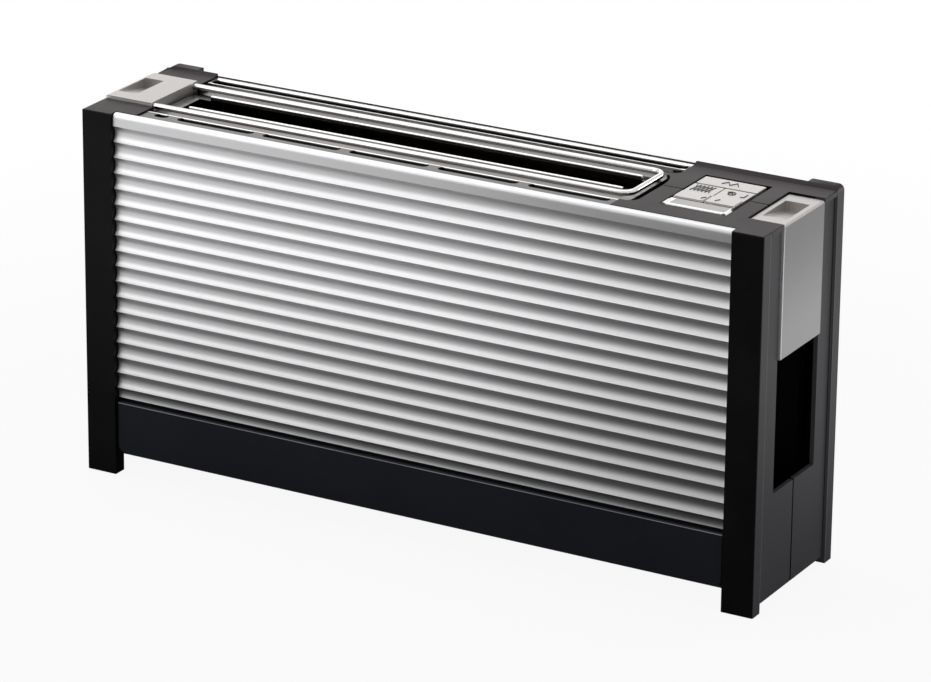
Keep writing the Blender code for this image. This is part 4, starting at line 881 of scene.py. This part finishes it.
def guide_grid(name):
    """Round upright wires, with two long wires behind them, in place of a guide grid."""
    node = f"guide_grid_{name}"
    low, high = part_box(node)
    side = -1 if low.y < 0 else 1
    inner = min(abs(low.y), abs(high.y))
    y = side * (inner + GRID_WIRE_RADIUS)
    behind = side * (inner + LONG_WIRE_SETBACK)
    left, right = low.x + GRID_MARGIN, high.x - GRID_MARGIN
    bm = bmesh.new()
    for k in range(GRID_WIRES):
        x = left + (right - left) * k / (GRID_WIRES - 1)
        rod(bm, (x, y, low.z), (x, y, high.z), GRID_WIRE_RADIUS, GRID_SIDES)
    for z in (low.z + LONG_WIRE_INSET, high.z - LONG_WIRE_INSET):
        rod(bm, (low.x, behind, z), (high.x, behind, z), LONG_WIRE_RADIUS, LONG_WIRE_SIDES)
    finished(f"fine_{node}", bm, "steel_rod", "body", (node,))


def key_cap(node):
    """A key's cap and plunger, level with the defrost key's; the stop key's cap leaves room for its bar."""
    low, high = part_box(node)
    pattern_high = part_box("key_defrost")[1]
    top = pattern_high.z
    right = min(high.x, pattern_high.x)
    front = low.y + (BAR_DEPTH + KEY_GROOVE if node == "key_stop" else KEY_INSET)
    bm = bmesh.new()
    bar(bm, (low.x, front, top - KEY_RISE), (right, high.y - KEY_INSET, top), KEY_EDGE)
    if node in LEDGED_KEYS:
        ledge_back = low.y + LEDGE_SHARE * (high.y - low.y)
        bar(bm, (low.x + KEY_EDGE, front + KEY_EDGE, top - KEY_EDGE),
            (right - KEY_EDGE, ledge_back, top + LEDGE_HEIGHT), LEDGE_HEIGHT / 2)
    x, y = (low.x + right) / 2, (low.y + high.y) / 2
    bar(bm, (x - PLUNGER_HALF, y - PLUNGER_HALF, low.z),
        (x + PLUNGER_HALF, y + PLUNGER_HALF, top - KEY_RISE / 2))
    return bm


def stop_bar(bm):
    """The stop key's round bar along its front edge, with a round knob at each end."""
    low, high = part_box("key_stop")
    bar_radius, knob_radius = BAR_DEPTH / 2, KNOB_WIDTH / 2
    left, right = low.x + knob_radius, high.x - knob_radius
    bar_y, bar_z = low.y + bar_radius, high.z - bar_radius
    rod(bm, (left, bar_y, bar_z), (right, bar_y, bar_z), bar_radius)
    knob_z = high.z - knob_radius
    for x in (left, right):
        rod(bm, (x, low.y, knob_z), (x, low.y + KNOB_DEPTH, knob_z), knob_radius)


def keys():
    """The four keys, then their marks."""
    for name in ("defrost", "single", "reheat", "stop"):
        node = f"key_{name}"
        bm = key_cap(node)
        if name == "stop":
            stop_bar(bm)
        finished(f"fine_{node}", bm, "satin_silver", f"{name}_key", (node,), finish=OWN_FINISHES.get(node))
    defrost_mark()
    single_mark()
    reheat_mark()


# Marks on the keys

def mark_line(bm, start, end, top):
    """A raised line of a mark between two points on the key."""
    start, end = Vector((*start, top)), Vector((*end, top))
    along = (end - start).normalized()
    turn = Matrix.Rotation(math.atan2(along.y, along.x), 4, "Z")
    size = Matrix.Diagonal(((end - start).length + MARK_LINE, MARK_LINE, 2 * MARK_HEIGHT, 1))
    bmesh.ops.create_cube(bm, size=1, matrix=Matrix.Translation((start + end) / 2) @ turn @ size)


def mark_path(bm, centre, size, points, top):
    """Lines of a mark through points given in units of its size round a centre."""
    spots = [(centre[0] + size * x, centre[1] + size * y) for x, y in points]
    for start, end in zip(spots, spots[1:]):
        mark_line(bm, start, end, top)


def short_stroke(bm, left, key_low, key_high):
    """A slanting stroke on a key's ledge."""
    front = key_low.y + STROKE_FROM_FRONT
    mark_line(bm, (left, front), (left + STROKE_WIDTH, front + STROKE_DEPTH), key_high.z + LEDGE_HEIGHT)


def finished_mark(bm, key):
    """Finish the lines of one key's mark as a dark piece of their own."""
    finished(f"icon_{key}", bm, "grey_nylon", f"{key}_key")


def defrost_mark():
    """A zigzag."""
    low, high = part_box("key_defrost")
    bm = bmesh.new()
    mark_path(bm, ((low.x + high.x) / 2, (low.y + high.y) / 2), ZIGZAG_SIZE, ZIGZAG, high.z)
    finished_mark(bm, "defrost")


def single_mark():
    """A lattice, and a stroke on the ledge."""
    low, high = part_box("key_single")
    left = low.x + LATTICE_FROM_LEFT
    front = high.y - LATTICE_FROM_BACK
    back = front + LATTICE_DEPTH
    step = LATTICE_WIDTH / LATTICE_LINES
    bm = bmesh.new()
    for k in range(LATTICE_LINES):
        x = left + k * step
        mark_line(bm, (x, front), (x + step, back), high.z)
        mark_line(bm, (x + step, front), (x, back), high.z)
    short_stroke(bm, high.x - SINGLE_STROKE_FROM_RIGHT, low, high)
    finished_mark(bm, "single")


def reheat_mark():
    """A spiral and a hook, and a stroke on the ledge."""
    low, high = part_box("key_reheat")
    y = high.y - REHEAT_MARKS_FROM_BACK
    spiral = []
    for k in range(SPIRAL_STEPS + 1):
        share = k / SPIRAL_STEPS
        angle = math.tau * SPIRAL_TURNS * share
        radius = SPIRAL_START_SHARE + (1 - SPIRAL_START_SHARE) * share
        spiral.append((radius * math.cos(angle), radius * math.sin(angle)))
    bm = bmesh.new()
    mark_path(bm, (low.x + SPIRAL_FROM_LEFT, y), SPIRAL_SIZE, spiral, high.z)
    mark_path(bm, (high.x - HOOK_FROM_RIGHT, y), HOOK_SIZE, HOOK, high.z)
    short_stroke(bm, low.x + REHEAT_STROKE_FROM_LEFT, low, high)
    finished_mark(bm, "reheat")


# Surroundings

def floor_finish():
    """White to the eye; in reflections a painted glow, white behind and to the right and fading along the
    front, over a floor coloured dark for reflections.
    """
    finish = Finish("floor", Roughness=0.9, Specular=0.1)
    glossy = finish.ray("Is Glossy Ray")
    finish.set(Base_Color=finish.blend(glossy, FLOOR_COLOUR, FLOOR_COLOUR_IN_GLOSS))
    glow = finish.node("ShaderNodeEmission", None, {"Color": (1, 1, 1), "Strength": 1.0})
    distance = finish.node("ShaderNodeVectorMath", {"operation": "LENGTH"}, [finish.place()], output="Value")
    across, back = finish.along("X"), finish.along("Y")
    near_glow = NEAR_GLOW_SHARE + (1 - NEAR_GLOW_SHARE) * distance.ramp(*NEAR_GLOW_FADE)
    to_right = (across - POOL_SLANT * back).ramp(*POOL_RIGHT_FADE)
    pool = (-back).ramp(*POOL_FRONT_FADE) * (1 - POOL_DIMMING_SHARE * to_right)
    around = back.ramp(*BEHIND_FADE) | across.ramp(*RIGHT_FADE)
    share = (finish.ray("Is Camera Ray") * near_glow) | (glossy * (pool | around))
    surface = Field(finish, finish.shader.outputs["BSDF"])
    mixed = finish.node("ShaderNodeMixShader", None, [share, surface, glow])
    finish.plug(finish.tree.nodes["Material Output"], "Surface", mixed)
    return finish.material


def stage():
    """Plain pale floor, with the toaster's shadow on it."""
    bm = bmesh.new()
    bmesh.ops.create_grid(bm, x_segments=1, y_segments=1, size=FLOOR_REACH)
    mesh = bpy.data.meshes.new("floor")
    bm.to_mesh(mesh)
    bm.free()
    mesh.materials.append(floor_finish())
    floor = bpy.data.objects.new("floor", mesh)
    bpy.context.scene.collection.objects.link(floor)


def world():
    """White to the eye and in reflections, but dim low in front of the toaster; softer as a light."""
    sky = bpy.data.worlds.new("studio")
    bpy.context.scene.world = sky
    sky.use_nodes = True
    nodes = Nodes(sky.node_tree)
    direction = nodes.node("ShaderNodeTexCoord", output="Generated")
    front = (-nodes.axis(direction, "Y")).ramp(*FRONT_FADE)
    low = 1 - nodes.axis(direction, "Z").ramp(*LOW_FADE)
    reflected = nodes.ray("Is Glossy Ray") * (1 - FRONT_DIMMING_SHARE * front * low)
    share = nodes.ray("Is Camera Ray") | reflected
    soft = nodes.node("ShaderNodeBackground", None, {"Color": (1, 1, 1), "Strength": WORLD_LIGHT})
    white = nodes.node("ShaderNodeBackground", None, {"Color": (1, 1, 1), "Strength": 1.0})
    mixed = nodes.node("ShaderNodeMixShader", None, [share, soft, white])
    nodes.plug(nodes.tree.nodes["World Output"], "Surface", mixed)


def softbox(name, place, size, radiance):
    """Area lamp that faces the toaster, its place and size in metres; a radiance of 1 is white."""
    lamp = bpy.data.lights.new(name, "AREA")
    lamp.shape = "RECTANGLE"
    lamp.size, lamp.size_y = size
    lamp.energy = radiance * math.pi * size[0] * size[1]
    holder = bpy.data.objects.new(name, lamp)
    holder.location = place
    holder.rotation_euler = (Vector(LAMP_AIM) - Vector(place)).to_track_quat("-Z", "Y").to_euler()
    bpy.context.scene.collection.objects.link(holder)


def lights():
    """Large soft lamps: above, at the front left, behind, and smaller ones at the right end."""
    softbox("top", place=(-0.3, 0.3, 1.6), size=(2.0, 1.4), radiance=0.9)
    softbox("front_left", place=(-0.9, -0.8, 0.7), size=(0.8, 0.8), radiance=1.15)
    softbox("back", place=(-1.0, 1.8, 0.85), size=(1.6, 0.8), radiance=0.7)
    softbox("back_right", place=(0.9, 1.5, 0.35), size=(0.6, 0.6), radiance=3.2)
    softbox("right_front", place=(1.6, -0.9, 0.35), size=(0.5, 0.8), radiance=0.9)


def camera():
    """Long lens at the photograph's viewing angle."""
    view = bpy.data.cameras.new("camera")
    view.sensor_width = SENSOR_WIDTH
    view.sensor_fit = "HORIZONTAL"
    view.lens = LENS
    outward = Vector((math.sin(CAMERA_AZIMUTH) * math.cos(CAMERA_ELEVATION),
                      -math.cos(CAMERA_AZIMUTH) * math.cos(CAMERA_ELEVATION), math.sin(CAMERA_ELEVATION)))
    holder = bpy.data.objects.new("camera", view)
    holder.location = CAMERA_AIM + CAMERA_DISTANCE * outward
    holder.rotation_mode = "QUATERNION"
    roll = Quaternion((0, 0, 1), CAMERA_ROLL)
    holder.rotation_quaternion = (-outward).to_track_quat("-Z", "Y") @ roll
    bpy.context.scene.collection.objects.link(holder)
    bpy.context.scene.camera = holder


# How wide the sharp edges of each part are rounded
REFINED = {
    "end_right_front": MOULDED_ROUNDING,
    "end_right_rear": MOULDED_ROUNDING,
    "end_left_front": MOULDED_ROUNDING,
    "end_left_rear": MOULDED_ROUNDING,
    "carriage_lever": LEVER_ROUNDING,
    "warmer_lever": LEVER_ROUNDING,
    "slot_surround": SHEET_ROUNDING,
    "front_vent_strip": STRIP_ROUNDING,
    "rear_vent_strip": STRIP_ROUNDING,
    "crumb_tray": SHEET_ROUNDING,
    "key_frame": SHEET_ROUNDING,
    "foot_right_front": MOULDED_ROUNDING,
    "foot_right_rear": MOULDED_ROUNDING,
    "foot_left_front": MOULDED_ROUNDING,
    "foot_left_rear": MOULDED_ROUNDING,
}

bpy.context.scene.view_settings.view_transform = "Standard"
camera()
world()
lights()
stage()
dress_nodes()
for node_name, edge_width in REFINED.items():
    refined(node_name, edge_width)
for side_name, side in (("front", -1), ("rear", 1)):
    fluted_panel(side_name, side)
    plinth_with_tongue(side_name, side)
wire_frame()
stretching_spring()
guide_grid("front")
guide_grid("rear")
keys()
